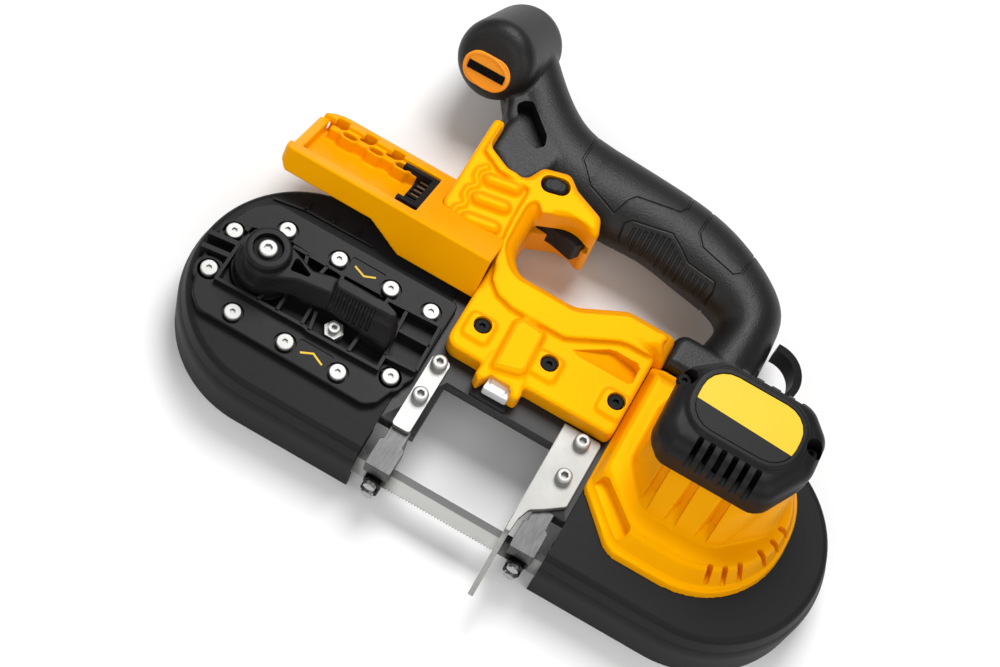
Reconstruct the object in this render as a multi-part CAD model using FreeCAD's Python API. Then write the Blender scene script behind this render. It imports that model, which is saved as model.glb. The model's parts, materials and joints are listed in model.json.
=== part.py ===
import FreeCAD, Part
import math
import os

V = FreeCAD.Vector

# Every length is in millimetres. X runs along the saw from the idler wheel (front) to the motor (rear),
# Y runs from the blade side to the handle side, and Z rises from the rims that the saw lies on.

# Band and wheels
BLADE_LENGTH = 892.0
BLADE_WIDTH = 12.7
BLADE_THICKNESS = 0.6
TOOTH_PITCH = 1.8
TOOTH_DEPTH = 0.9
WHEEL_DIAMETER = 120.0
WHEEL_WIDTH = 16.0
TYRE_THICKNESS = 1.5
RIM_THICKNESS = 5.0
BLADE_PLANE = 20.0
IDLER_X = -121.5
TENSION_TRAVEL = 8.0

# Guards and frame
GUARD_MARGIN = 8.0
GUARD_WALL = 3.0
GUARD_DEPTH = 42.0
GUARD_ROLL = 18.0
CHANNEL_SHARE = 0.57
FRAME_THICKNESS = 7.0
FRONT_GUARD_END = -51.0
REAR_GUARD_END = 63.0
THROAT_FRONT = -30.0
THROAT_REAR = 39.9
THROAT_TOP = -3.6
ARM_END = -40.0

# Clearances, and a height that is more than any part has
SLIP = 0.3
RUN_FIT = 0.05
BLADE_GAP = 0.3
FAR = 200.0

# Cover plate, carriage and lever
COVER_THICKNESS = 5.0
COVER_SCREW_HEAD = 9.5
COVER_SCREW_SHANK = 2.5
COVER_SCREW_START = -147.6
COVER_SCREW_PITCH = 32.55
COVER_ROW_HIGH = 25.6
COVER_ROW_LOW = -33.2
CARRIAGE_WIDTH = 18.0
CARRIAGE_FRONT = -162.0
CARRIAGE_REAR = -92.0
KEEPER_THICKNESS = 2.5
LEVER_X = -146.6
LEVER_Y = -1.2
LEVER_REACH = 81.0
LEVER_RISE = 26.0
LEVER_HUB_RADIUS = 17.0
LEVER_SHAFT_RADIUS = 7.5
ECCENTRIC_RADIUS = 3.0
YOKE_PLAY = 1.3
SPRING_X = -137.0
SPRING_PITCH = 2.4
SPRING_RADIUS = 4.0
AXLE_RADIUS = 6.0
IDLER_BEARING_RADIUS = 12.0
IDLER_BEARING_WIDTH = 6.0
TRACKING_X = -96.5
TRACKING_Y = -13.0
TRACKING_RADIUS = 3.0

# Guides
FRONT_GUIDE_X = -37.7
REAR_GUIDE_X = 51.0
GUIDE_WIDTH = 15.0
ROLLER_RADIUS = 5.0
ROLLER_LENGTH = 16.0
PIN_RADIUS = 1.6
BOLT_RADIUS = 3.0
BOLT_HEAD = 4.6
BRACKET_THICKNESS = 3.5
STOP_THICKNESS = 3.0
STOP_TIP = -96.0

# Drive
GEAR_MODULE = 1.25
PINION_TEETH = 10
GEAR_TEETH = 34
GEAR_WIDTH = 5.0
MOTOR_SIDE_STEP = -17.5
SPINDLE_RADIUS = 5.0
SPINDLE_BEARING_RADIUS = 9.5
SPINDLE_BEARING_WIDTH = 5.0
MOTOR_SHAFT_RADIUS = 4.0
MOTOR_BEARING_RADIUS = 9.5
MOTOR_BEARING_WIDTH = 6.0
FAN_RADIUS = 17.0
ROTOR_RISE = 10.0
ROTOR_RADIUS = 12.0
STATOR_RADIUS = 16.0
STATOR_BORE = 12.6
STATOR_LENGTH = 12.0
SKIRT_Y = 11.0
SKIRT_RADIUS = 56.5
SKIRT_FOOT = 5.0
CREST_RADIUS = 43.5
CREST_RISE = 14.0
TOWER_RISE = 31.0
RIB_WIDTH = 8.0
RIB_PITCH = 16.0
HOUSING_WALL = 3.0
CAP_Y = 28.5
CAP_LENGTH = 80.5
CAP_WIDTH = 58.0
CAP_HEIGHT = 27.0
CAP_WALL = 3.0
BADGE_LENGTH = 58.0
BADGE_WIDTH = 35.0

# Body, handles and battery foot
BODY_RISE = 14.0
BODY_SPLIT = 33.0
BODY_BOTTOM = 10.0
BODY_WALL = 3.0
BODY_ROLL = 3.0
BODY_REAR = 68.0
HANDLE_HEIGHT = 48.0
HANDLE_DEPTH = 38.0
HANDLE_LEG_WIDTH = 34.0
HANDLE_BAR_Y = 154.0
HANDLE_BEND = 54.0
HANDLE_LEG_X = 100.0
HANDLE_FOOT = 87.0
HANDLE_START = -23.0
FRONT_STEM_RADIUS = 19.5
HEAD_RADIUS = 24.0
FOOT_TILT = 32.0
FOOT_EDGE_Y = 58.6
FOOT_RISE = 15.5
FOOT_WIDTH = 62.0
FOOT_DEPTH = 14.5
NECK_DEPTH = 26.0
FOOT_TIP = -171.0
FOOT_TIP_ROUND = 17.0
FOOT_NECK = -90.0
FOOT_END = -42.0
KEY_RADIUS = 2.5
HOOK_X = 110.0
HOOK_Y = 86.0
HOOK_PIN_RADIUS = 2.5
HOOK_HALF = 8.0

# Values worked out from the sizes above
WHEEL_RADIUS = WHEEL_DIAMETER / 2
BAND_RADIUS = WHEEL_RADIUS + BLADE_THICKNESS / 2
CENTRE_DISTANCE = (BLADE_LENGTH - 2 * math.pi * BAND_RADIUS) / 2
DRIVE_X = IDLER_X + CENTRE_DISTANCE
GUARD_RADIUS = WHEEL_RADIUS + GUARD_MARGIN
GUARD_FACE = GUARD_DEPTH - GUARD_WALL
FRAME_BASE = GUARD_FACE - FRAME_THICKNESS
COVER_TOP = GUARD_DEPTH + COVER_THICKNESS
LEVER_TOP = COVER_TOP + LEVER_RISE
SKIRT_STEP = GUARD_DEPTH + SKIRT_FOOT
CREST_HEIGHT = GUARD_DEPTH + CREST_RISE
ROTOR_BASE = CREST_HEIGHT + ROTOR_RISE
HOUSING_TOP = CREST_HEIGHT + TOWER_RISE
CAP_TOP = HOUSING_TOP + CAP_HEIGHT
BODY_TOP = GUARD_DEPTH + BODY_RISE
FOOT_EDGE_Z = BODY_TOP + FOOT_RISE
GEAR_CENTRES = GEAR_MODULE * (PINION_TEETH + GEAR_TEETH) / 2
MOTOR_X = DRIVE_X + MOTOR_SIDE_STEP
SKIRT_X = MOTOR_X
MOTOR_Y = math.sqrt(GEAR_CENTRES ** 2 - MOTOR_SIDE_STEP ** 2)
GUIDE_ROLLER_OFFSET = BLADE_THICKNESS / 2 + BLADE_GAP + ROLLER_RADIUS
FLAT_FRONT = FRONT_GUIDE_X - GUIDE_WIDTH / 2
FLAT_REAR = REAR_GUIDE_X + GUIDE_WIDTH / 2
STRAIGHT_RUN = TENSION_TRAVEL + 8
FRONT_TWIST_END = IDLER_X + STRAIGHT_RUN
REAR_TWIST_END = DRIVE_X - STRAIGHT_RUN


def corner_wire(points, z=0.0):
    """Closed wire through (x, y, radius) corners, each corner rounded to its radius."""
    count = len(points)
    arcs = []
    for index, (x, y, radius) in enumerate(points):
        here = V(x, y, z)
        before = V(points[index - 1][0], points[index - 1][1], z) - here
        after = V(points[(index + 1) % count][0], points[(index + 1) % count][1], z) - here
        before.normalize()
        after.normalize()
        half = before.getAngle(after) / 2
        reach = radius / math.tan(half)
        middle = before + after
        if radius > 0 and middle.Length > 1e-9:
            middle.normalize()
            top = here + middle * (radius / math.sin(half) - radius)
            arcs.append((here + before * reach, top, here + after * reach))
        else:
            arcs.append((here, None, here))
    edges = []
    for index, (start, top, end) in enumerate(arcs):
        if top is not None:
            edges.append(Part.Arc(start, top, end).toShape())
        following = arcs[(index + 1) % count][0]
        if (following - end).Length > 1e-6:
            edges.append(Part.LineSegment(end, following).toShape())
    return Part.Wire(edges)


def slab(points, z0, z1):
    """Solid of a rounded outline between two heights."""
    return Part.Face(corner_wire(points, z0)).extrude(V(0, 0, z1 - z0))


def box(x0, x1, y0, y1, z0, z1):
    return Part.makeBox(x1 - x0, y1 - y0, z1 - z0, V(x0, y0, z0))


def rod(x, y, z0, z1, radius):
    return Part.makeCylinder(radius, z1 - z0, V(x, y, z0))


def ring(x, y, z0, z1, outer, inner):
    return rod(x, y, z0, z1, outer).cut(rod(x, y, z0, z1, inner))


def yz_plate(points, x0, x1):
    """Flat plate whose (y, z) outline is carried from x0 to x1."""
    corners = [V(x0, y, z) for y, z in points]
    return Part.Face(Part.makePolygon(corners + corners[:1])).extrude(V(x1 - x0, 0, 0))


def xz_plate(points, y0, y1):
    """Flat plate whose (x, z) outline is carried from y0 to y1."""
    corners = [V(x, y0, z) for x, z in points]
    return Part.Face(Part.makePolygon(corners + corners[:1])).extrude(V(0, y1 - y0, 0))


def hexagon(x, y, z0, z1, across_flats):
    corner = across_flats / math.sqrt(3)
    angles = [math.pi / 3 * step for step in range(6)]
    return slab([(x + corner * math.cos(a), y + corner * math.sin(a), 0) for a in angles], z0, z1)


def centred(x, y, length, width, radius):
    """Corner list of a rounded rectangle about a centre."""
    a = length / 2
    b = width / 2
    return [(x - a, y - b, radius), (x + a, y - b, radius), (x + a, y + b, radius), (x - a, y + b, radius)]


def soften(shape, z, radius):
    """Round every edge that lies wholly at height z."""
    edges = [e for e in shape.Edges if abs(e.BoundBox.ZMin - z) < 1e-4 and abs(e.BoundBox.ZMax - z) < 1e-4]
    return shape.makeFillet(radius, edges)


def fuse(first, *rest):
    return first.multiFuse(list(rest)).removeSplitter()


def cut(first, *rest):
    for tool in rest:
        first = first.cut(tool)
    return first


def socket_screw(x, y, z, head_radius, head_height, shank_radius, shank_length, socket):
    """Button or cap screw that stands on height z, with a hexagon socket in its head."""
    head = soften(rod(x, y, z, z + head_height, head_radius), z + head_height, head_height * 0.3)
    shank = rod(x, y, z - shank_length, z, shank_radius)
    return fuse(head, shank).cut(hexagon(x, y, z + head_height * 0.4, z + head_height + 1, socket))


def group(shapes):
    return Part.makeCompound(shapes)


# Guards, frame and cover


def lobe(front, inset):
    """Outline of one guard: a half round end that closes on a straight throat side."""
    half = GUARD_RADIUS - inset
    if front:
        end = FRONT_GUARD_END - inset
        tip = IDLER_X - half
        return [(end, -half, 0), (end, half, 0), (tip, half, half - 0.01), (tip, -half, half - 0.01)]
    end = REAR_GUARD_END + inset
    tip = DRIVE_X + half
    return [(end, half, 0), (end, -half, 0), (tip, -half, half - 0.01), (tip, half, half - 0.01)]


def rolled_lobe(front, inset, z0, z1, roll):
    """Solid lobe whose edge at the face is rolled over, apart from the straight throat side."""
    solid = slab(lobe(front, inset), z0, z1)
    edges = [e for e in solid.Edges if e.BoundBox.ZMin > z1 - 0.001 and e.BoundBox.XLength > 0.001]
    return solid.makeFillet(roll, edges)


def guard(front):
    """Wheel guard: a cup with a rolled front edge, open at the back and where the blade passes."""
    outer = rolled_lobe(front, 0, 0, GUARD_DEPTH, GUARD_ROLL)
    inner = rolled_lobe(front, GUARD_WALL, -1, GUARD_FACE, GUARD_ROLL - GUARD_WALL)
    end = FRONT_GUARD_END if front else REAR_GUARD_END
    side = 2 * GUARD_WALL
    frame_pass = box(end - side, end + side, ARM_END - 6, GUARD_RADIUS + 1, -1, GUARD_FACE)
    blade_pass = box(end - side, end + side, -GUARD_RADIUS + GUARD_WALL, ARM_END, -1, FRAME_BASE - 1)
    reach = BLADE_WIDTH / 2 + SLIP
    flat, twist_end = (FLAT_FRONT, FRONT_TWIST_END) if front else (FLAT_REAR, REAR_TWIST_END)
    channel_end = flat + (twist_end - flat) * CHANNEL_SHARE
    channel = box(min(flat, channel_end), max(flat, channel_end), -BAND_RADIUS - reach, -BAND_RADIUS,
                  BLADE_PLANE - reach, BLADE_PLANE + reach)
    return cut(outer, inner, frame_pass, blade_pass, channel)


def front_guard():
    window = box(CARRIAGE_FRONT - 3, CARRIAGE_REAR + 12, -14, 14, GUARD_FACE - 1, GUARD_DEPTH + 1)
    return cut(guard(True), window, foot_envelope(SLIP))


def rear_guard():
    gear_room = rod(DRIVE_X, 0, GUARD_FACE - 1, GUARD_DEPTH + 1, SPINDLE_BEARING_RADIUS + 8)
    return guard(False).cut(gear_room)


def main_frame():
    """Cast frame: a plate behind both guards, a raised bridge, two guide arms and a wall along the throat."""
    half = GUARD_RADIUS - GUARD_ROLL - 1
    plate = slab(
        [
            (IDLER_X - half, -half, half - 0.01),
            (DRIVE_X + half, -half, half - 0.01),
            (DRIVE_X + half, half, half - 0.01),
            (IDLER_X - half, half, half - 0.01),
        ],
        FRAME_BASE,
        GUARD_FACE,
    )
    bridge = box(
        FRONT_GUARD_END + SLIP, REAR_GUARD_END - SLIP, ARM_END, half, GUARD_FACE, GUARD_DEPTH
    )
    wall = box(THROAT_FRONT, THROAT_REAR, THROAT_TOP, THROAT_TOP + 4, BLADE_PLANE - 9, FRAME_BASE)
    throat = box(THROAT_FRONT, THROAT_REAR, -GUARD_RADIUS, THROAT_TOP, 0, GUARD_DEPTH + 1)
    side = GUARD_WALL + 1
    front_pass = box(FRONT_GUARD_END - side, FRONT_GUARD_END + SLIP, -GUARD_RADIUS, ARM_END - 5, 0, FAR)
    rear_pass = box(REAR_GUARD_END - SLIP, REAR_GUARD_END + side, -GUARD_RADIUS, ARM_END - 5, 0, FAR)
    arms = box(FRONT_GUARD_END - 1, REAR_GUARD_END + 1, -GUARD_RADIUS, ARM_END, 0, FAR)
    slot_half = CARRIAGE_WIDTH / 2 + SLIP
    slot = box(CARRIAGE_FRONT - 1, CARRIAGE_REAR + TENSION_TRAVEL + 2, -slot_half, slot_half, 0, FAR)
    seat = rod(DRIVE_X, 0, 0, FAR, SPINDLE_BEARING_RADIUS)
    boss = rod(DRIVE_X, 0, GUARD_FACE, GUARD_DEPTH, SPINDLE_BEARING_RADIUS + 6)
    frame = fuse(plate, bridge, wall, boss)
    return cut(frame, throat, front_pass, rear_pass, arms, slot, seat, foot_envelope(SLIP))


COVER_COLUMNS = [COVER_SCREW_START + COVER_SCREW_PITCH * step for step in range(3)]
COVER_SCREWS = (
    [(x, y) for y in (COVER_ROW_HIGH, COVER_ROW_LOW) for x in COVER_COLUMNS]
    + [(-57.2, COVER_ROW_HIGH), (-57.2, -20.0), (-171.6, 9.2), (-171.6, -17.6)]
)


def cover_plate():
    """Raised plate over the carriage slot, with a ribbed pocket under the lever."""
    outline = [
        (-62, -44, 6), (-46, -27, 6), (-46, 34, 6), (-150, 34, 10), (-172, 24, 14),
        (-183, 6, 10), (-183, -22, 10), (-166, -44, 10),
    ]
    plate = soften(slab(outline, GUARD_DEPTH - 6, COVER_TOP), COVER_TOP, 0.8)
    below = rolled_lobe(True, 0, 0, GUARD_DEPTH, GUARD_ROLL)
    bridge = box(FRONT_GUARD_END - 1, 0, -GUARD_RADIUS, GUARD_RADIUS, 0, GUARD_DEPTH)
    pocket_floor = GUARD_DEPTH + 1.6
    pockets = [
        box(x0, x1, y0, y1, pocket_floor, COVER_TOP + 1)
        for x0, x1 in ((-128, -106), (-104, -88), (-86, -70))
        for y0, y1 in ((-21, -7), (4, 16))
    ]
    pockets.append(box(-68, -54, -10, 12, pocket_floor, COVER_TOP + 1))
    rails = [
        slab([(-132, y, 1), (-66, y, 1), (-66, y + 2.5, 1), (-132, y + 2.5, 1)], COVER_TOP, COVER_TOP + 3)
        for y in (-26, 17.5)
    ]
    bore = rod(LEVER_X, LEVER_Y, 0, FAR, LEVER_SHAFT_RADIUS + RUN_FIT)
    holes = [rod(x, y, 0, FAR, COVER_SCREW_SHANK) for x, y in COVER_SCREWS]
    tracking = rod(TRACKING_X, TRACKING_Y, 0, FAR, TRACKING_RADIUS + RUN_FIT)
    return cut(fuse(plate, *rails), below, bridge, bore, tracking, *pockets, *holes)


def cover_screws():
    return group([
        socket_screw(x, y, COVER_TOP, COVER_SCREW_HEAD / 2, 2.2, COVER_SCREW_SHANK, COVER_THICKNESS, 3.0)
        for x, y in COVER_SCREWS
    ])


# Idler wheel, carriage and tension lever


def wheel(x, bore):
    """Spoked wheel without its tyre: rim, web with lightening holes, and hub."""
    low = BLADE_PLANE - WHEEL_WIDTH / 2
    high = BLADE_PLANE + WHEEL_WIDTH / 2
    rim_radius = WHEEL_RADIUS - BLADE_GAP - TYRE_THICKNESS
    rim = ring(x, 0, low, high, rim_radius, rim_radius - RIM_THICKNESS)
    web = rod(x, 0, BLADE_PLANE - 2.5, BLADE_PLANE + 2.5, rim_radius - RIM_THICKNESS / 2)
    hub = rod(x, 0, low, high, bore + 5)
    holes = [
        rod(x + 36 * math.cos(a), 36 * math.sin(a), 0, FAR, 10.5)
        for a in (math.pi / 3 * step for step in range(6))
    ]
    return cut(fuse(rim, web, hub), rod(x, 0, 0, FAR, bore), *holes)


def tyre(x):
    """Rubber tyre with one rounded shoulder."""
    low = BLADE_PLANE - WHEEL_WIDTH / 2
    outer = WHEEL_RADIUS - BLADE_GAP
    inner = outer - TYRE_THICKNESS
    return soften(ring(x, 0, low, low + WHEEL_WIDTH, outer, inner), low, 0.4)


def idler_wheel():
    return wheel(IDLER_X, IDLER_BEARING_RADIUS)


def idler_tyre():
    return tyre(IDLER_X)


def bearing(x, y, z, outer, inner, width):
    """Closed ball bearing drawn as one ring with sunk shields."""
    body = ring(x, y, z, z + width, outer - RUN_FIT, inner + RUN_FIT)
    gap = (outer - inner) * 0.3
    shield = ring(x, y, z + width - 0.5, z + width + 1, outer - gap, inner + gap)
    return body.cut(shield).cut(shield.translated(V(0, 0, -width)))


def idler_bearings():
    spots = (BLADE_PLANE - WHEEL_WIDTH / 2, BLADE_PLANE + WHEEL_WIDTH / 2 - IDLER_BEARING_WIDTH)
    return group([
        bearing(IDLER_X, 0, z, IDLER_BEARING_RADIUS, AXLE_RADIUS, IDLER_BEARING_WIDTH) for z in spots
    ])


def tension_carriage():
    """Sliding block in the frame slot: axle seat at the rear, cross slot for the eccentric at the front."""
    half = CARRIAGE_WIDTH / 2
    front = CARRIAGE_FRONT + 2
    rear = CARRIAGE_REAR - TENSION_TRAVEL
    top = GUARD_FACE + 1
    low = FRAME_BASE - SLIP
    block = box(front, rear, -half, half, low, top)
    keeper = box(front, rear, -half - 4, half + 4, low - KEEPER_THICKNESS, low)
    seat = rod(IDLER_X, 0, 0, FAR, AXLE_RADIUS)
    eccentric_x = LEVER_X - TENSION_TRAVEL / 2
    yoke_half = ECCENTRIC_RADIUS + YOKE_PLAY
    yoke = box(eccentric_x - yoke_half, eccentric_x + yoke_half, LEVER_Y - 9.5, half + 6, FRAME_BASE, FAR)
    spring_room = box(SPRING_X, SPRING_X + 4 * SPRING_PITCH, -SPRING_RADIUS - SLIP, SPRING_RADIUS + SLIP,
                      FRAME_BASE, FAR)
    return cut(fuse(block, keeper), seat, yoke, spring_room)


def idler_axle():
    top = GUARD_FACE + 1
    low = BLADE_PLANE - WHEEL_WIDTH / 2 - 2
    pin = rod(IDLER_X, 0, low, top, AXLE_RADIUS)
    collar = rod(IDLER_X, 0, BLADE_PLANE + WHEEL_WIDTH / 2 + 0.2, FRAME_BASE - SLIP - KEEPER_THICKNESS, AXLE_RADIUS + 3)
    clip = rod(IDLER_X, 0, low, low + 1.6, AXLE_RADIUS + 2.5)
    return fuse(pin, collar, clip)


def lever_shaft():
    """Shaft through the cover plate with the eccentric pin that draws the carriage."""
    throw = TENSION_TRAVEL / 2
    stem = rod(LEVER_X, LEVER_Y, GUARD_DEPTH - 0.7, LEVER_TOP - 8, LEVER_SHAFT_RADIUS)
    pin = rod(LEVER_X - throw, LEVER_Y, FRAME_BASE + 1, GUARD_DEPTH - 0.7, ECCENTRIC_RADIUS)
    return fuse(stem, pin)


def tension_lever():
    """Moulded lever: round hub, arm with a triangular window and a ribbed finger end."""
    base = COVER_TOP + SLIP
    arm_base = COVER_TOP + 7
    arm_top = LEVER_TOP - 5
    tip = LEVER_X + LEVER_REACH
    hub = soften(rod(LEVER_X, LEVER_Y, base, LEVER_TOP, LEVER_HUB_RADIUS), LEVER_TOP, 4)
    outline = [
        (LEVER_X - 3, LEVER_Y + 15, 4), (LEVER_X - 3, LEVER_Y - 15, 4), (LEVER_X + 34, LEVER_Y - 9, 20),
        (tip - 22, LEVER_Y - 12, 8), (tip, LEVER_Y - 14, 5), (tip, LEVER_Y + 4, 7), (LEVER_X + 34, LEVER_Y + 9, 20),
    ]
    arm = soften(slab(outline, arm_base, arm_top), arm_top, 2.5)
    window = slab(
        [(LEVER_X + 21, LEVER_Y - 5, 1.5), (LEVER_X + 37, LEVER_Y - 3, 1.5), (LEVER_X + 21, LEVER_Y + 7, 1.5)],
        0, FAR,
    )
    grips = [
        slab(centred(x, LEVER_Y - 11.5, 2, 4, 0.6), arm_base + 2, arm_top - 2)
        for x in (LEVER_X + 42 + 5 * step for step in range(5))
    ]
    bore = rod(LEVER_X, LEVER_Y, 0, LEVER_TOP - 8, LEVER_SHAFT_RADIUS)
    counterbore = rod(LEVER_X, LEVER_Y, LEVER_TOP - 4, LEVER_TOP + 1, 8.5)
    screw_way = rod(LEVER_X, LEVER_Y, 0, LEVER_TOP, 2.5)
    return cut(fuse(hub, arm, *grips), window, bore, counterbore, screw_way)


def lever_screw():
    seat = LEVER_TOP - 4
    washer = rod(LEVER_X, LEVER_Y, seat, seat + 1.2, 8)
    return fuse(washer, socket_screw(LEVER_X, LEVER_Y, seat + 1.2, 6.5, 3.4, 2.5, 4.8, 5.0))


def tension_spring():
    """Stack of dished washers on the carriage, behind the eccentric."""
    cups = []
    for step in range(4):
        start = V(SPRING_X + SPRING_PITCH * step + 0.6, 0, FRAME_BASE + SPRING_RADIUS)
        cup = Part.makeCone(SPRING_RADIUS, SPRING_RADIUS * 0.7, 1.2, start, V(1, 0, 0))
        cups.append(cup.cut(Part.makeCylinder(SPRING_RADIUS * 0.35, 1.2, start, V(1, 0, 0))))
    return group(cups)


def tracking_screw():
    """Grub screw that tilts the idler axle, reached from the cover side."""
    body = rod(TRACKING_X, TRACKING_Y, GUARD_DEPTH + 0.2, COVER_TOP + 5, TRACKING_RADIUS - RUN_FIT)
    return body.cut(hexagon(TRACKING_X, TRACKING_Y, COVER_TOP + 2.5, COVER_TOP + 6, 3.0))


def tracking_nut():
    nut = hexagon(TRACKING_X, TRACKING_Y, GUARD_DEPTH + 1.6, COVER_TOP + 2, 10.0)
    return nut.cut(rod(TRACKING_X, TRACKING_Y, 0, FAR, TRACKING_RADIUS))


# Blade


def blade_section(x, turn):
    """Rectangle of the band at x, turned about the band's line by the given angle in degrees."""
    half_width = BLADE_WIDTH / 2
    half_thick = BLADE_THICKNESS / 2
    a = math.radians(turn)
    corners = []
    for across, through in ((-1, -1), (1, -1), (1, 1), (-1, 1)):
        w = across * half_width
        t = through * half_thick
        y = -BAND_RADIUS + t * math.cos(a) + w * math.sin(a)
        z = BLADE_PLANE - t * math.sin(a) + w * math.cos(a)
        corners.append(V(x, y, z))
    return Part.makePolygon(corners + corners[:1])


def blade_twist(x0, x1, turn0, turn1):
    steps = 9
    wires = []
    for step in range(steps + 1):
        share = step / steps
        wires.append(blade_section(x0 + (x1 - x0) * share, turn0 + (turn1 - turn0) * share))
    return Part.makeLoft(wires, True, True)


def saw_blade():
    """Closed band: round both wheels, along the top, and turned flat across the throat with its teeth."""
    back = -BAND_RADIUS + BLADE_WIDTH / 2
    edge = -BAND_RADIUS - BLADE_WIDTH / 2
    points = [V(FLAT_FRONT, back, 0), V(FLAT_FRONT, edge, 0)]
    teeth = int((THROAT_REAR - THROAT_FRONT) / TOOTH_PITCH)
    for tooth in range(teeth):
        x = THROAT_FRONT + tooth * TOOTH_PITCH
        points += [V(x, edge, 0), V(x + TOOTH_PITCH * 0.75, edge + TOOTH_DEPTH, 0)]
    points += [V(THROAT_FRONT + teeth * TOOTH_PITCH, edge, 0), V(FLAT_REAR, edge, 0), V(FLAT_REAR, back, 0)]
    flat = Part.Face(Part.makePolygon(points + points[:1])).extrude(V(0, 0, BLADE_THICKNESS))
    flat.translate(V(0, 0, BLADE_PLANE - BLADE_THICKNESS / 2))
    low = BLADE_PLANE - BLADE_WIDTH / 2
    high = BLADE_PLANE + BLADE_WIDTH / 2
    inner = BAND_RADIUS - BLADE_THICKNESS / 2
    outer = BAND_RADIUS + BLADE_THICKNESS / 2
    front_turn = ring(IDLER_X, 0, low, high, outer, inner).cut(box(IDLER_X, 0, -FAR, FAR, 0, FAR))
    rear_turn = ring(DRIVE_X, 0, low, high, outer, inner).cut(box(0, DRIVE_X, -FAR, FAR, 0, FAR))
    top = box(IDLER_X, DRIVE_X, inner, outer, low, high)
    front_run = box(IDLER_X, FRONT_TWIST_END, -outer, -inner, low, high)
    rear_run = box(REAR_TWIST_END, DRIVE_X, -outer, -inner, low, high)
    front_twist = blade_twist(FRONT_TWIST_END, FLAT_FRONT, 0, 90)
    rear_twist = blade_twist(FLAT_REAR, REAR_TWIST_END, 90, 0)
    return fuse(flat, front_turn, rear_turn, top, front_run, rear_run, front_twist, rear_twist)


# Guides and work stop


def guide_block(x):
    """Steel block that backs the blade and carries the roller pins."""
    half = GUIDE_WIDTH / 2
    back = -BAND_RADIUS + BLADE_WIDTH / 2 + BLADE_GAP
    low = BLADE_PLANE - 12
    holder = box(x - half, x + half, back, ARM_END, low, GUARD_DEPTH)
    roof_base = BLADE_PLANE + GUIDE_ROLLER_OFFSET + ROLLER_RADIUS + SLIP
    roof = box(x - half, x + half, back - 13, back, roof_base, GUARD_DEPTH - 2)
    pins = [
        Part.makeCylinder(PIN_RADIUS, 40, V(x, back - 20, BLADE_PLANE + side * GUIDE_ROLLER_OFFSET), V(0, 1, 0))
        for side in (-1, 1)
    ]
    return cut(fuse(holder, roof), *pins)


def front_guide_block():
    return guide_block(FRONT_GUIDE_X)


def rear_guide_block():
    return guide_block(REAR_GUIDE_X)


ROLLER_BACK = -BAND_RADIUS + BLADE_WIDTH / 2


def roller(x, side):
    """Guide roller that turns on its pin beside one face of the blade."""
    z = BLADE_PLANE + side * GUIDE_ROLLER_OFFSET
    start = V(x, ROLLER_BACK - ROLLER_LENGTH, z)
    body = Part.makeCylinder(ROLLER_RADIUS, ROLLER_LENGTH, start, V(0, 1, 0))
    groove = Part.makeCylinder(ROLLER_RADIUS + 1, 1.0, start + V(0, 2.0, 0), V(0, 1, 0))
    groove = groove.cut(Part.makeCylinder(ROLLER_RADIUS - 0.6, 1.0, start + V(0, 2.0, 0), V(0, 1, 0)))
    bore = Part.makeCylinder(PIN_RADIUS + RUN_FIT, ROLLER_LENGTH, start, V(0, 1, 0))
    return body.cut(groove).cut(bore)


def roller_pins():
    """Headed pins, pressed into the guide blocks, that carry the four rollers."""
    pins = []
    back = ROLLER_BACK + BLADE_GAP
    for x in (FRONT_GUIDE_X, REAR_GUIDE_X):
        for side in (-1, 1):
            z = BLADE_PLANE + side * GUIDE_ROLLER_OFFSET
            tip = ROLLER_BACK - ROLLER_LENGTH - SLIP
            pin = Part.makeCylinder(PIN_RADIUS, back + 10 - tip, V(x, tip, z), V(0, 1, 0))
            head = Part.makeCylinder(3.4, 2.5, V(x, tip - 2.5, z), V(0, 1, 0))
            pins.append(fuse(pin, head))
    return group(pins)


FRONT_BOLTS = [(-38.6, 1.5), (-38.4, -20.5)]
REAR_BOLTS = [(49.6, 3.0), (50.2, -20.0)]


def front_guide_bracket():
    """Plated strip that clamps the front guide block to the frame arm."""
    outline = [(-43.8, -42, 2), (-33, -42, 2), (-33, 6, 3), (-43.8, 6, 3)]
    strip = slab(outline, GUARD_DEPTH, GUARD_DEPTH + BRACKET_THICKNESS)
    return cut(strip, *[rod(x, y, 0, FAR, BOLT_RADIUS) for x, y in FRONT_BOLTS])


def work_stop():
    """Bent steel stop: a flange under its two bolts and a tapered fence along the throat."""
    fence_x = THROAT_REAR - SLIP - STOP_THICKNESS
    flange_top = GUARD_DEPTH + STOP_THICKNESS
    flange = slab(
        [(fence_x, -40, 0), (52, -40, 3), (59.5, -29, 3), (59.5, 9, 2), (fence_x, 9, 1)], GUARD_DEPTH, flange_top
    )
    over_blade = BLADE_PLANE + 3
    fence = yz_plate(
        [(9, flange_top), (9, GUARD_DEPTH), (THROAT_TOP - SLIP, GUARD_DEPTH), (-12, GUARD_DEPTH - 8),
         (-40, over_blade), (STOP_TIP, over_blade),
         (STOP_TIP, over_blade + 7), (-60, GUARD_DEPTH), (-50, flange_top)],
        fence_x, fence_x + STOP_THICKNESS,
    )
    return cut(fuse(flange, fence), *[rod(x, y, 0, FAR, BOLT_RADIUS) for x, y in REAR_BOLTS])


def guide_bolts():
    """Cap screws that hold the front bracket and the work stop."""
    bolts = []
    for spots, thickness in ((FRONT_BOLTS, BRACKET_THICKNESS), (REAR_BOLTS, STOP_THICKNESS)):
        for x, y in spots:
            bolts.append(socket_screw(x, y, GUARD_DEPTH + thickness, BOLT_HEAD, 5, BOLT_RADIUS, thickness, 4))
    return group(bolts)


# Drive train and motor

GEAR_BASE = GUARD_DEPTH + 1.5
GEAR_TOP = GEAR_BASE + GEAR_WIDTH
COVER_BASE = GEAR_TOP + 1
GEAR_COVER_TOP = COVER_BASE + 3


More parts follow.
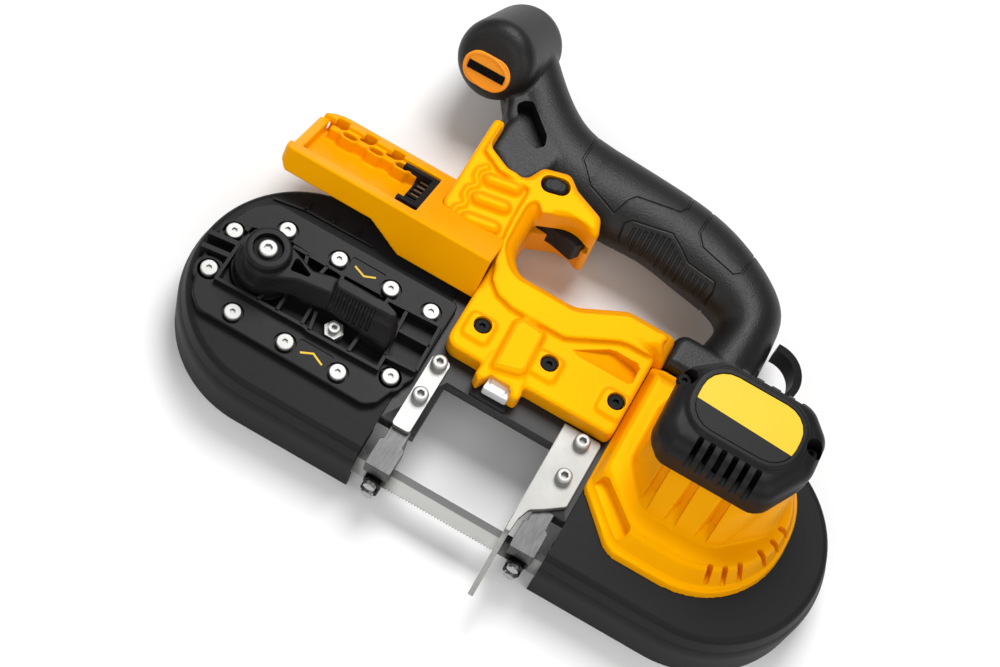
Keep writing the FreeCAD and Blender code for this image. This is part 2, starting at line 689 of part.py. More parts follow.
def spur_gear(x, y, z0, z1, teeth, phase):
    """Spur gear with straight-sided teeth; phase turns its first tooth, in teeth."""
    pitch_radius = GEAR_MODULE * teeth / 2
    tip = pitch_radius + 0.8 * GEAR_MODULE
    root = pitch_radius - 1.2 * GEAR_MODULE
    pitch = 2 * math.pi / teeth
    points = []
    for tooth in range(teeth):
        middle = (tooth + phase) * pitch
        for radius, share in ((root, -0.24), (tip, -0.12), (tip, 0.12), (root, 0.24)):
            a = middle + share * pitch
            points.append(V(x + radius * math.cos(a), y + radius * math.sin(a), z0))
    return Part.Face(Part.makePolygon(points + points[:1])).extrude(V(0, 0, z1 - z0))


def drive_gear():
    angle = math.atan2(MOTOR_Y, MOTOR_SIDE_STEP)
    phase = angle * GEAR_TEETH / (2 * math.pi) + 0.5
    gear = spur_gear(DRIVE_X, 0, GEAR_BASE, GEAR_TOP, GEAR_TEETH, phase)
    holes = [
        rod(DRIVE_X + 13 * math.cos(a), 13 * math.sin(a), 0, FAR, 4) for a in (math.pi / 3 * s for s in range(6))
    ]
    return cut(gear, rod(DRIVE_X, 0, 0, FAR, SPINDLE_RADIUS), *holes)


def drive_wheel():
    return wheel(DRIVE_X, SPINDLE_RADIUS)


def drive_tyre():
    return tyre(DRIVE_X)


def drive_spindle():
    low = BLADE_PLANE - WHEEL_WIDTH / 2
    shaft = rod(DRIVE_X, 0, low - 8, GEAR_TOP + 0.5, SPINDLE_RADIUS)
    nut = hexagon(DRIVE_X, 0, low - 8, low, 18)
    collar = rod(DRIVE_X, 0, low + WHEEL_WIDTH, FRAME_BASE, SPINDLE_RADIUS + 2)
    return fuse(shaft, nut, collar)


def spindle_bearings():
    return group([
        bearing(DRIVE_X, 0, z, SPINDLE_BEARING_RADIUS, SPINDLE_RADIUS, SPINDLE_BEARING_WIDTH)
        for z in (FRAME_BASE, FRAME_BASE + SPINDLE_BEARING_WIDTH)
    ])


def gear_cover():
    """Plate on three posts over the gears; it seats the motor's lower bearing."""
    x = DRIVE_X
    plate = slab([(x - 31, -14, 8), (x + 15, -14, 12), (x + 19, 34, 8), (x - 29, 42, 10)], COVER_BASE, GEAR_COVER_TOP)
    posts = [rod(x + step, y, GUARD_DEPTH, COVER_BASE, 4) for step, y in ((-27, -7), (-23, 36), (12, 27))]
    collar = rod(MOTOR_X, MOTOR_Y, COVER_BASE, GEAR_COVER_TOP + 4, MOTOR_BEARING_RADIUS + 3)
    seat = rod(MOTOR_X, MOTOR_Y, COVER_BASE - 1, FAR, MOTOR_BEARING_RADIUS)
    return cut(fuse(plate, collar, *posts), seat)


def motor_shaft():
    angle = math.atan2(-MOTOR_Y, -MOTOR_SIDE_STEP)
    phase = angle * PINION_TEETH / (2 * math.pi)
    pinion = spur_gear(MOTOR_X, MOTOR_Y, GEAR_BASE - 0.5, GEAR_TOP + 0.5, PINION_TEETH, phase)
    return fuse(pinion, rod(MOTOR_X, MOTOR_Y, GEAR_TOP, CAP_TOP - 5, MOTOR_SHAFT_RADIUS))


def motor_rotor():
    """Wound rotor: a slotted stack on the shaft."""
    stack = ring(MOTOR_X, MOTOR_Y, ROTOR_BASE, ROTOR_BASE + STATOR_LENGTH, ROTOR_RADIUS, MOTOR_SHAFT_RADIUS)
    slots = [
        rod(MOTOR_X + 9.8 * math.cos(a), MOTOR_Y + 9.8 * math.sin(a), 0, FAR, 1.4)
        for a in (math.pi / 6 * step for step in range(12))
    ]
    return cut(stack, *slots)


def motor_stator():
    return ring(MOTOR_X, MOTOR_Y, ROTOR_BASE - 1, ROTOR_BASE + STATOR_LENGTH + 1, STATOR_RADIUS, STATOR_BORE)


def motor_fan():
    """Fan below the rotor: a disc with straight blades."""
    base = GEAR_COVER_TOP + 4.8
    disc = rod(MOTOR_X, MOTOR_Y, base, base + 1.6, FAN_RADIUS)
    hub = rod(MOTOR_X, MOTOR_Y, base, base + 6, 7)
    blades = []
    for step in range(9):
        blade = box(6, FAN_RADIUS, -0.8, 0.8, base + 1.6, base + 6)
        blade.rotate(V(0, 0, 0), V(0, 0, 1), 40 * step)
        blades.append(blade.translated(V(MOTOR_X, MOTOR_Y, 0)))
    return fuse(disc, hub, *blades).cut(rod(MOTOR_X, MOTOR_Y, 0, FAR, MOTOR_SHAFT_RADIUS))


def motor_bearings():
    return group([
        bearing(MOTOR_X, MOTOR_Y, z, MOTOR_BEARING_RADIUS, MOTOR_SHAFT_RADIUS, MOTOR_BEARING_WIDTH)
        for z in (COVER_BASE + 0.5, CAP_TOP - CAP_WALL - MOTOR_BEARING_WIDTH)
    ])


def skirt_side(radius, left, low_corner):
    """Corners of the motor skirt's half beside the body, with a chamfer at the throat corner."""
    low = SKIRT_Y - radius
    high = SKIRT_Y + radius
    return [(left, high - 3.5, 0), (left, low_corner, 0), (left + 27, low, 0), (SKIRT_X, low, 0), (SKIRT_X, high, 0)]


def skirt(inset, z0, top):
    """Low skirt on the rear guard: an upright foot, then a slope in to the crest; round on its rear half."""
    foot_radius = SKIRT_RADIUS - inset
    crest_radius = CREST_RADIUS - inset / 3
    foot = skirt_side(foot_radius, BODY_EDGE + SLIP + inset, -19)
    crest = skirt_side(crest_radius, BODY_EDGE + 4 + inset, -5)
    slope = Part.makeLoft([corner_wire(foot, SKIRT_STEP), corner_wire(crest, top)], True, True)
    drum = rod(SKIRT_X, SKIRT_Y, z0, SKIRT_STEP, foot_radius)
    cone = Part.makeCone(foot_radius, crest_radius, top - SKIRT_STEP, V(SKIRT_X, SKIRT_Y, SKIRT_STEP))
    rear = fuse(drum, cone).common(box(SKIRT_X, 2 * FAR, -FAR, FAR, 0, FAR))
    return fuse(slab(foot, z0, SKIRT_STEP), slope, rear)


def tower(inset, z0, z1):
    """Sloping motor tower: from a round foot inside the crest to the outline of the end cap."""
    width = 2 * (CREST_RADIUS - 5.5 - inset)
    foot = corner_wire(centred(SKIRT_X, SKIRT_Y, width, width, width / 2 - 1), z0)
    head = corner_wire(
        centred(MOTOR_X, CAP_Y, CAP_LENGTH - 4 - 2 * inset, CAP_WIDTH - 4 - 2 * inset, 20 - inset), z1
    )
    return Part.makeLoft([foot, head], True, True)


def motor_housing():
    """Yellow housing: skirt on the rear guard, sloping tower with ribs, a web round the stator, and vents."""
    shell = fuse(skirt(0, GUARD_DEPTH, CREST_HEIGHT), tower(0, CREST_HEIGHT, HOUSING_TOP))
    hollow = fuse(skirt(HOUSING_WALL, GUARD_DEPTH - 1, CREST_HEIGHT - HOUSING_WALL),
                  tower(HOUSING_WALL, CREST_HEIGHT, HOUSING_TOP),
                  rod(SKIRT_X, SKIRT_Y, SKIRT_STEP, CREST_HEIGHT + 1, CREST_RADIUS - 9))
    web = tower(1, CREST_HEIGHT, HOUSING_TOP).common(box(-FAR, FAR, -FAR, FAR, ROTOR_BASE + 4, ROTOR_BASE + 7))
    web = web.cut(rod(MOTOR_X, MOTOR_Y, 0, FAR, STATOR_RADIUS))
    ribs = []
    for x in (SKIRT_X - 1.6 * RIB_PITCH + RIB_PITCH * step for step in range(4)):
        ribs.append(yz_plate([(-29, CREST_HEIGHT), (CAP_Y - 26, HOUSING_TOP - 1), (CAP_Y - 20, HOUSING_TOP - 1),
                              (-16, CREST_HEIGHT)], x, x + RIB_WIDTH))
    vents = []
    for step in range(9):
        vent = box(SKIRT_RADIUS - 7, SKIRT_RADIUS + 2, -1.4, 1.4, GUARD_DEPTH + 1.5, SKIRT_STEP + 1)
        vent.rotate(V(0, 0, 0), V(0, 0, 1), -72 + 10 * step)
        vents.append(vent.translated(V(SKIRT_X, SKIRT_Y, 0)))
    ribs = [rib.cut(tower(HOUSING_WALL, CREST_HEIGHT, HOUSING_TOP)) for rib in ribs]
    return cut(fuse(cut(shell, hollow), web, *ribs), *vents)


CAP_SCREWS = [(MOTOR_X - CAP_LENGTH / 2 + 2.5, CAP_Y + 9), (MOTOR_X + CAP_LENGTH / 2 - 2, CAP_Y + 8)]
BADGE_SPOT = (MOTOR_X + 0.5, CAP_Y + 3)


def end_cap():
    """Black end cap: domed cup with a sunk badge seat, side vents and two screw lugs."""
    outer = soften(slab(centred(MOTOR_X, CAP_Y, CAP_LENGTH, CAP_WIDTH, 22), HOUSING_TOP, CAP_TOP), CAP_TOP, 7)
    inner = slab(
        centred(MOTOR_X, CAP_Y, CAP_LENGTH - 2 * CAP_WALL, CAP_WIDTH - 2 * CAP_WALL, 19),
        HOUSING_TOP - 1, CAP_TOP - CAP_WALL,
    )
    seat = slab(centred(*BADGE_SPOT, BADGE_LENGTH, BADGE_WIDTH, 15), CAP_TOP - 1.2, CAP_TOP + 1)
    side = CAP_Y - CAP_WIDTH / 2
    vents = [
        box(x - 1.7, x + 1.7, side - 1, side + 6, HOUSING_TOP + 7, CAP_TOP - 6)
        for x in (MOTOR_X - 24 + 9 * step for step in range(6))
    ]
    collar = ring(
        MOTOR_X, MOTOR_Y, CAP_TOP - CAP_WALL - 8, CAP_TOP - CAP_WALL, MOTOR_BEARING_RADIUS + 3, MOTOR_BEARING_RADIUS
    )
    bosses = [rod(x, y, HOUSING_TOP, CAP_TOP - 10, 6.5).common(outer) for x, y in CAP_SCREWS]
    wells = [rod(x, y, CAP_TOP - 14, CAP_TOP + 1, 5) for x, y in CAP_SCREWS]
    shanks = [rod(x, y, HOUSING_TOP - 1, CAP_TOP, 2) for x, y in CAP_SCREWS]
    return cut(fuse(cut(outer, inner), collar, *bosses), seat, *vents, *wells, *shanks)


def cap_badge():
    """Plain plate in the end cap's seat."""
    outline = centred(*BADGE_SPOT, BADGE_LENGTH - 2 * SLIP, BADGE_WIDTH - 2 * SLIP, 15 - SLIP)
    return soften(slab(outline, CAP_TOP - 1.2, CAP_TOP - 0.2), CAP_TOP - 0.2, 0.3)


def cap_screws():
    return group([
        socket_screw(x, y, CAP_TOP - 14, 4.2, 3, 1.9, CAP_TOP - 14 - HOUSING_TOP, 3) for x, y in CAP_SCREWS
    ])


# Body shells

BODY_EDGE = 62.0
BODY_OUTLINE = [
    (-42, 11, 7), (BODY_EDGE, 11, 4), (BODY_EDGE, 65.2, 1), (BODY_REAR, 65.2, 3.2), (BODY_REAR, HANDLE_FOOT, 5),
    (36, HANDLE_FOOT, 12), (9, 72.5, 12), (-26, 72.5, 9), (-34, 82, 9), (-35, 108, 3), (-13, 118, 16),
    (3.5, 109, 3.5), (-3, 126, 5), (-22, 134, 6), (-30, 141, 5), (-46, 136, 5), (-51, 124, 5), (-62, 124, 7),
    (-77, 131, 5), (-77, 150, 3.2), (-84, 150, 3.2), (-84, 84, 5), (-42, 70, 6),
]
SPLIT_LINE = GUARD_RADIUS + 2 * SLIP
BODY_SCREWS = [(-28.7 + 41.7 * step, 30.5) for step in range(3)]
LOCK_X = -34.5
LOCK_Y = 128.4
LOCK_RADIUS = 4.6
LOCK_RISE = 2.5
BUMP_Y = 93.4
BUMP_PITCH = 12.8
TRIGGER_OUTLINE = [
    (-35, 113, 2), (-21, 112, 12), (-8, 109, 2.5), (-4, 115.5, 2.5), (-6.5, 122, 2), (-33, 123, 2),
]
TRIGGER_HALF = 8.0
TRIGGER_SWING = 7.0
TRIGGER_X = -31.0
TRIGGER_Y = 119.5


def grown(points, margin, z0, z1):
    """Slab of an outline grown outwards by a margin (or shrunk, if it is negative)."""
    face = Part.Face(corner_wire(points, z0)).makeOffset2D(margin)
    return face.extrude(V(0, 0, z1 - z0))


def trigger_room():
    """Space that the trigger sweeps, with its clearance."""
    low = BODY_SPLIT - TRIGGER_HALF - SLIP
    high = BODY_SPLIT + TRIGGER_HALF + SLIP
    rest = grown(TRIGGER_OUTLINE, SLIP, low, high)
    swept = [rest]
    for share in (0.5, 1.0):
        turned = rest.copy()
        turned.rotate(V(TRIGGER_X, TRIGGER_Y, 0), V(0, 0, 1), TRIGGER_SWING * share)
        swept.append(turned)
    return swept


def body_rough():
    """Outer form of the whole body before it is split and hollowed."""
    upper = soften(slab(BODY_OUTLINE, GUARD_DEPTH, BODY_TOP), BODY_TOP, BODY_ROLL)
    beyond = box(-FAR, FAR, SPLIT_LINE, 2 * FAR, 0, FAR)
    lower = soften(slab(BODY_OUTLINE, BODY_BOTTOM, GUARD_DEPTH), BODY_BOTTOM, BODY_ROLL).common(beyond)
    panel = soften(slab([(-16.5, 14.5, 2), (0, 14.5, 2), (0, 40, 3), (-16.5, 40, 3)], BODY_TOP, BODY_TOP + 1.6),
                   BODY_TOP + 1.6, 1.0)
    bumps = []
    for step in range(3):
        bar = slab(centred(-65.5, BUMP_Y + BUMP_PITCH * step, 21, 6, 2.9), BODY_TOP, BODY_TOP + 2.4)
        bumps.append(soften(bar, BODY_TOP + 2.4, 1.6))
    return fuse(upper, lower, panel, *bumps)


def body_shell(upper):
    """One half of the clamshell, hollowed to its wall, with the openings that pass through it."""
    half = box(-FAR, FAR, -FAR, 2 * FAR, BODY_SPLIT, FAR) if upper else box(
        -FAR, FAR, -FAR, 2 * FAR, 0, BODY_SPLIT)
    shell = body_rough().common(half)
    hollow_low = BODY_BOTTOM + BODY_WALL
    hollow_high = BODY_TOP - BODY_WALL
    tower_hollow = slab([(-80, 88, 3), (-38, 88, 3), (-38, 106, 3), (-52, 119, 3), (-80, 119, 3)],
                        hollow_low, hollow_high)
    block_hollow = slab([(-38, 40, 3), (58, 40, 3), (58, 67, 3), (-38, 67, 3)], GUARD_DEPTH - 1, hollow_high)
    light_hollow = slab([(-14, 14, 2), (4, 14, 2), (4, 26, 2), (-14, 26, 2)], GUARD_DEPTH - 1, hollow_high)
    wells = [rod(x, y, BODY_TOP - 4, BODY_TOP + 1, 5.2) for x, y in BODY_SCREWS]
    shanks = [rod(x, y, GUARD_DEPTH - 1, BODY_TOP, 2.3) for x, y in BODY_SCREWS]
    lock = rod(LOCK_X, LOCK_Y, 0, FAR, LOCK_RADIUS + RUN_FIT)
    lock_well = slab(centred(LOCK_X, LOCK_Y, 16, 10, 4.9), BODY_TOP - 3, BODY_TOP + 5)
    return cut(shell, tower_hollow, block_hollow, light_hollow, *wells, *shanks, lock, lock_well,
               lens_block(SLIP), *trigger_room())


def body_shell_upper():
    return body_shell(True)


def body_shell_lower():
    return body_shell(False)


def body_screws():
    return group([
        socket_screw(x, y, BODY_TOP - 4, 4.6, 2.6, 2.2, BODY_TOP - 4 - GUARD_DEPTH, 3.5) for x, y in BODY_SCREWS
    ])


def lens_block(grow):
    """Clear lens in the notch at the body's lower edge."""
    low = GUARD_DEPTH + 4
    return slab(
        [(-14 - grow, 7 - grow, 1.5), (5 + grow, 7 - grow, 1.5), (3 + grow, 15 + grow, 1.5),
         (-12 - grow, 15 + grow, 1.5)],
        low - grow, BODY_TOP - 6 + grow,
    )


def led_lens():
    """Lens with its foot on the frame bridge."""
    foot = box(-11, 2, 8, 10.5, GUARD_DEPTH, GUARD_DEPTH + 4)
    return fuse(lens_block(0), foot)


def trigger():
    return slab(TRIGGER_OUTLINE, BODY_SPLIT - TRIGGER_HALF, BODY_SPLIT + TRIGGER_HALF)


def lock_button():
    """Cross bolt that locks the trigger, pushed in from the cover side."""
    bar = rod(LOCK_X, LOCK_Y, BODY_BOTTOM + LOCK_RISE, BODY_TOP + LOCK_RISE, LOCK_RADIUS)
    return soften(bar, BODY_TOP + LOCK_RISE, 1.5)


# Battery foot


def foot_place(shape):
    """Carry a shape from the foot's own frame (width along Y, height along Z) to its tilted place."""
    placed = shape.copy()
    placed.rotate(V(0, 0, 0), V(1, 0, 0), -FOOT_TILT)
    placed.translate(V(0, FOOT_EDGE_Y, FOOT_EDGE_Z))
    return placed


FOOT_SIDE = [
    (FOOT_TIP, 0), (FOOT_END, 0), (FOOT_END, -NECK_DEPTH), (FOOT_NECK, -NECK_DEPTH),
    (FOOT_NECK - 21, -FOOT_DEPTH), (FOOT_TIP + 5, -FOOT_DEPTH), (FOOT_TIP, -FOOT_DEPTH + 6),
]
TERMINAL_SLOTS = [26 + 5.5 * step for step in range(4)]


def foot_envelope(grow):
    """Room that the neck of the foot needs beside the guard and frame."""
    rough = box(FOOT_NECK - 24, FOOT_END + grow, -grow, 2 * FOOT_WIDTH, -NECK_DEPTH - grow, FAR)
    return foot_place(rough)


def battery_foot():
    """Tilted tray that takes the battery: open end, side rails and a hollow neck."""
    plan = [(FOOT_TIP, 0, 4), (FOOT_END, 0, 0), (FOOT_END, FOOT_WIDTH, 0), (FOOT_TIP, FOOT_WIDTH, FOOT_TIP_ROUND)]
    body = xz_plate(FOOT_SIDE, 0, FOOT_WIDTH).common(slab(plan, -NECK_DEPTH, 0))
    stop = FOOT_NECK - 2
    channel = box(FOOT_TIP - 1, stop, 4, FOOT_WIDTH - 4, -10.5, -4)
    mouth = box(FOOT_TIP - 1, stop, 8, FOOT_WIDTH - 8, -4.5, 1)
    notches = [box(x, x + 7, FOOT_WIDTH - 9, FOOT_WIDTH - 4, -5, 1) for x in (-160, -142, -124)]
    hollow = box(FOOT_NECK + 3, FOOT_END + 1, 4, FOOT_WIDTH - 4, -NECK_DEPTH + 4, -4)
    foot = foot_place(cut(body, channel, mouth, hollow, *notches))
    return foot.cut(grown(BODY_OUTLINE, 0.001, 0, BODY_TOP + 0.001))


def terminal_block():
    """Black block at the closed end of the tray."""
    block = box(FOOT_NECK - 12, FOOT_NECK - 2, 22, FOOT_WIDTH - 12, -10.5, -1)
    slots = [box(FOOT_NECK - 13, FOOT_NECK - 3, y, y + 2.4, -8, -2) for y in TERMINAL_SLOTS]
    return foot_place(cut(block, *slots))


def terminal_contacts():
    return group([
        foot_place(box(FOOT_NECK - 11, FOOT_NECK - 3, y + 0.7, y + 1.7, -8, -3)) for y in TERMINAL_SLOTS
    ])


# Handles


def ellipse_wire(centre, along, half_width, half_depth):
    """Ellipse about a centre, square to a direction in the XY plane; its depth lies along Z."""
    side = V(-along.y, along.x, 0)
    side.normalize()
    if half_width >= half_depth:
        curve = Part.Ellipse(centre + side * half_width, centre + V(0, 0, half_depth), centre)
    else:
        curve = Part.Ellipse(centre + V(0, 0, half_depth), centre + side * half_width, centre)
    return Part.Wire([curve.toShape()])


def main_handle():
    """D-handle: a bar that bends down into a leg, the leg's foot beside the body, and room for the switch."""
    z = BODY_SPLIT
    bend_start = V(HANDLE_LEG_X - HANDLE_BEND, HANDLE_BAR_Y, z)
    middle = V(bend_start.x, HANDLE_BAR_Y - HANDLE_BEND, z)
    turn = middle + V(math.sqrt(0.5), math.sqrt(0.5), 0) * HANDLE_BEND
    bend_end = V(HANDLE_LEG_X, HANDLE_BAR_Y - HANDLE_BEND, z)
    start = V(HANDLE_START, HANDLE_BAR_Y, z)
    end = V(HANDLE_LEG_X, HANDLE_FOOT, z)
    path = Part.Wire([
        Part.LineSegment(start, bend_start).toShape(),
        Part.Arc(bend_start, turn, bend_end).toShape(),
        Part.LineSegment(bend_end, end).toShape(),
    ])
    thick = ellipse_wire(start, V(1, 0, 0), HANDLE_HEIGHT / 2, HANDLE_DEPTH / 2)
    thin = ellipse_wire(end, V(0, -1, 0), HANDLE_LEG_WIDTH / 2, HANDLE_DEPTH / 2)
    bar = path.makePipeShell([thick, thin], True, True)
    half = HANDLE_DEPTH / 2
    foot_low = GUARD_RADIUS + 2 * SLIP
    foot = box(BODY_REAR, HANDLE_LEG_X + HANDLE_LEG_WIDTH / 2, foot_low, HANDLE_FOOT + 8, z - half, z + half)
    hook_room = box(HOOK_X - 7, FAR, foot_low - 1, HANDLE_FOOT + 12, z - HOOK_HALF - SLIP, z + HOOK_HALF + SLIP)
    pin_way = rod(HOOK_X, HOOK_Y, 0, FAR, HOOK_PIN_RADIUS)
    return cut(fuse(bar, foot), switch_box(SLIP), body_rough(), pad_form(), hook_room, pin_way)


def switch_box(grow):
    return box(-20 - grow, 14 + grow, HANDLE_BAR_Y - 12 - grow, HANDLE_BAR_Y + 10 + grow,
               BODY_SPLIT - 10 - grow, BODY_SPLIT + 10 + grow)


def switch_module():
    return switch_box(0)


def pad_form():
    """Textured pad let into the top of the bar."""
    y = HANDLE_BAR_Y + HANDLE_HEIGHT / 2
    return box(-8, 34, y - 4, y - 0.6, BODY_SPLIT - 9, BODY_SPLIT + 9)


def grip_pad():
    return pad_form()


HEAD_BACK = V(-99, 197, 38)
HEAD_AXIS = V(-0.118, -0.80, 0.588)
HEAD_AXIS.normalize()
HEAD_REACH = 31.0
HEAD_TAIL = 32.0
HEAD_LIFT = V(0, HEAD_AXIS.z, -HEAD_AXIS.y) * 6
HEAD_ROLL = 11.0


def front_handle():
    """Front handle: a stem that leaves the body and a barrel-shaped head turned to the cover side."""
    z = BODY_SPLIT
    stem_points = [V(HANDLE_START, HANDLE_BAR_Y, z), V(-44, 163, z), V(-65, 179, z), V(-88, 198, z)]
    pieces = []
    for start, end in zip(stem_points, stem_points[1:]):
        pieces.append(Part.makeCylinder(FRONT_STEM_RADIUS, (end - start).Length, start, end - start))
        pieces.append(Part.makeSphere(FRONT_STEM_RADIUS, end))
    base = HEAD_BACK - HEAD_AXIS * HEAD_TAIL + HEAD_LIFT
    head = Part.makeCylinder(HEAD_RADIUS, HEAD_TAIL + HEAD_REACH, base, HEAD_AXIS)
    head = head.makeFillet(HEAD_ROLL, [e for e in head.Edges if e.Curve.TypeId == "Part::GeomCircle"])
    handle = fuse(head, *pieces)
    beyond = box(HANDLE_START, FAR, 0, 2 * FAR, 0, FAR)
    return cut(handle, beyond, body_rough(), key_room(), lock_button_room())


def lock_button_room():
    return rod(LOCK_X, LOCK_Y, 0, FAR, LOCK_RADIUS + RUN_FIT)


def head_place(shape):
    """Carry a shape made about the Z axis to the end face of the head."""
    placed = shape.copy()
    placed.Placement = FreeCAD.Placement(HEAD_BACK + HEAD_AXIS * HEAD_REACH,
                                         FreeCAD.Rotation(V(0, 0, 1), HEAD_AXIS)).multiply(placed.Placement)
    return placed


def oval(length, width, z0, z1):
    return slab(centred(0, 0, length, width, width / 2 - 0.01), z0, z1)


PLUG_LENGTH = 30.0
PLUG_WIDTH = 20.0
PLUG_DEPTH = 32.0
KEY_LONG = 26.0
KEY_SLOT = 2 * KEY_RADIUS + 2 * RUN_FIT


def key_room():
    return head_place(oval(PLUG_LENGTH, PLUG_WIDTH, -PLUG_DEPTH, 1))


def key_holder():
    """Oval plug in the head with a slot for the hex key."""
    plug = soften(oval(PLUG_LENGTH, PLUG_WIDTH, -PLUG_DEPTH, 0.8), 0.8, 0.6)
    slot = box(-12, 12, -KEY_SLOT / 2, KEY_SLOT / 2, -4, 2)
    bore = box(12 - KEY_SLOT, 12, -KEY_SLOT / 2, KEY_SLOT / 2, -KEY_LONG - 3, 2)
    return head_place(cut(plug, slot, bore))


def hex_key():
    """L-shaped key: short arm across the plug, long arm down its bore."""
    half = KEY_RADIUS
    short = box(-11.5, 12 - RUN_FIT, -half, half, -3.5, 1.4)
    long = box(12 - RUN_FIT - 2 * half, 12 - RUN_FIT, -half, half, -KEY_LONG, 1.4)
    return head_place(fuse(short, long))


# Hanging hook


def hang_hook():
    """Flat bent hook that swings out from behind the main handle."""
    z0 = BODY_SPLIT - HOOK_HALF
    z1 = BODY_SPLIT + HOOK_HALF
    bow_x = HOOK_X + 11
    bow_y = HOOK_Y + 15
    bow = ring(bow_x, bow_y, z0, z1, 19.5, 15)
    bow = cut(bow, box(-FAR, bow_x - 2, -FAR, FAR, 0, FAR), box(-FAR, bow_x + 6, -FAR, bow_y, 0, FAR))
    arm = box(HOOK_X, HOOK_X + 20, HOOK_Y - 4, HOOK_Y + 1, z0, z1)
    boss = rod(HOOK_X, HOOK_Y, z0, z1, 6)
    return cut(fuse(boss, arm, bow), rod(HOOK_X, HOOK_Y, 0, FAR, HOOK_PIN_RADIUS + RUN_FIT))


def hook_pin():
    half = HANDLE_DEPTH / 2
    return rod(HOOK_X, HOOK_Y, BODY_SPLIT - half, BODY_SPLIT + half, HOOK_PIN_RADIUS)


ROLLERS = {
    "front_roller_upper": (FRONT_GUIDE_X, 1),
    "front_roller_lower": (FRONT_GUIDE_X, -1),
    "rear_roller_upper": (REAR_GUIDE_X, 1),
    "rear_roller_lower": (REAR_GUIDE_X, -1),
}

MAKERS = [
    main_frame, front_guard, rear_guard, cover_plate, cover_screws, tension_carriage, idler_axle, idler_bearings,
    idler_wheel, idler_tyre, lever_shaft, tension_lever, lever_screw, tension_spring, tracking_screw, tracking_nut,
    saw_blade, drive_wheel, drive_tyre, drive_spindle, spindle_bearings, drive_gear, gear_cover, motor_shaft,
    motor_rotor, motor_stator, motor_fan, motor_bearings, motor_housing, end_cap, cap_badge, cap_screws,
    body_shell_upper, body_shell_lower, body_screws, battery_foot, terminal_block, terminal_contacts, main_handle,
    grip_pad, front_handle, key_holder, hex_key, trigger, switch_module, lock_button, hang_hook, hook_pin, led_lens,
    front_guide_bracket, work_stop, guide_bolts, front_guide_block, rear_guide_block, roller_pins,
]


def all_nodes():
    nodes = {make.__name__: make() for make in MAKERS}
    for name, (x, side) in ROLLERS.items():
        nodes[name] = roller(x, side)
    return nodes


def row_shift(nodes):
    """Shift that puts the origin under the middle of the whole saw, on the plane it lies on."""
    whole = Part.makeCompound(list(nodes.values())).optimalBoundingBox()
    return V(-whole.Center.x, -whole.Center.y, -whole.ZMin)


def main():
    os.makedirs("parts", exist_ok=True)
    nodes = all_nodes()
    shift = row_shift(nodes)
    for name, shape in nodes.items():
        shape.translated(shift).exportStep(f"parts/{name}.step")
        print(name, len(shape.Solids), "solids", round(shape.Volume / 1000, 2), "cm3", shape.isValid())
    print("shift", tuple(round(value, 3) for value in shift))


main()
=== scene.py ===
# %% [markdown]
# # A portable band saw, finished in Blender
# The solid model gives every part its true size and joint. This lesson dresses it: each cell takes one
# part or one finish of the saw, says how it is made on the real tool, and models or shades it the same
# way. Lengths in the cells are millimetres on the drawing, because that is how a maker thinks of such
# parts.

# %% Load the solid model
import json
import math

import bmesh
import bpy
from mathutils import Matrix, Vector


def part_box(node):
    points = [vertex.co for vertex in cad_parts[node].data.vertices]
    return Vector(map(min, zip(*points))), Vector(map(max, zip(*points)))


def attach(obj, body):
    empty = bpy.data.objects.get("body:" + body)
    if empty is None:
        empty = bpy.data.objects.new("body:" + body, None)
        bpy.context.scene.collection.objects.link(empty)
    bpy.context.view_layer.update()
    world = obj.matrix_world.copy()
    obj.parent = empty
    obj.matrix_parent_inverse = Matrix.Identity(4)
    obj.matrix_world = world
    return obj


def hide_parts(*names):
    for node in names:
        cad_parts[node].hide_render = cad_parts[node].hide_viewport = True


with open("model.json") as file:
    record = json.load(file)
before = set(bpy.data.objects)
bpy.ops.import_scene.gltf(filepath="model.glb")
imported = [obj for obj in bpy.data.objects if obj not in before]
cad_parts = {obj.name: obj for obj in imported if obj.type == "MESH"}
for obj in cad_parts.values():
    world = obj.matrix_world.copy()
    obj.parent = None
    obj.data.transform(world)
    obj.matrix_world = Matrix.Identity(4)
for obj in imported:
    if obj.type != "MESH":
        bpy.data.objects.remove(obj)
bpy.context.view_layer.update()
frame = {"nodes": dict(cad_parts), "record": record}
nodes = frame["nodes"]

# %% [markdown]
# The drawing puts its zero on the line between the two wheels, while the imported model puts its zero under
# the middle of the whole saw. One corner that both know, the rear guard's throat corner, gives the step
# between them. `at` then turns drawing millimetres into scene metres, so no other cell has to think of
# it.

# %% Drawing coordinates
REAR_GUARD_CORNER = Vector((63.0, -68.0, 0.0))
drawing_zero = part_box("rear_guard")[0] - REAR_GUARD_CORNER / 1000


def at(x, y, z):
    """A point of the drawing, in scene metres."""
    return Vector((x, y, z)) / 1000 + drawing_zero


print("drawing zero at", [round(value, 4) for value in drawing_zero])

# %% [markdown]
# The view is from above and a little from the blade's side, with the saw on its back. A camera is a
# place, a direction and a lens. Here the three directions of the view are written as a matrix, which
# keeps the roll of the picture: the saw runs across it at a slant.

# %% Camera
AIM = at(-2.4, 1.6, 40.0)
VIEW_RIGHT = Vector((0.8671, 0.4641, 0.1808))
VIEW_UP = Vector((-0.4967, 0.7784, 0.3838))
VIEW_BACK = Vector((0.0374, -0.4226, 0.9055))
CAMERA_DISTANCE = 1.185

bpy.ops.object.select_all(action="DESELECT")
bpy.ops.object.camera_add()
camera = bpy.context.object
camera.matrix_world = Matrix.Translation(AIM + VIEW_BACK * CAMERA_DISTANCE) @ Matrix(
    (VIEW_RIGHT, VIEW_UP, VIEW_BACK)
).transposed().to_4x4()
camera.data.sensor_width = 36.0
camera.data.lens = 78.49
camera.data.shift_x = 0.0051
camera.data.shift_y = 0.0683
bpy.context.scene.camera = camera
print("camera", round(CAMERA_DISTANCE, 3), "m from the saw")

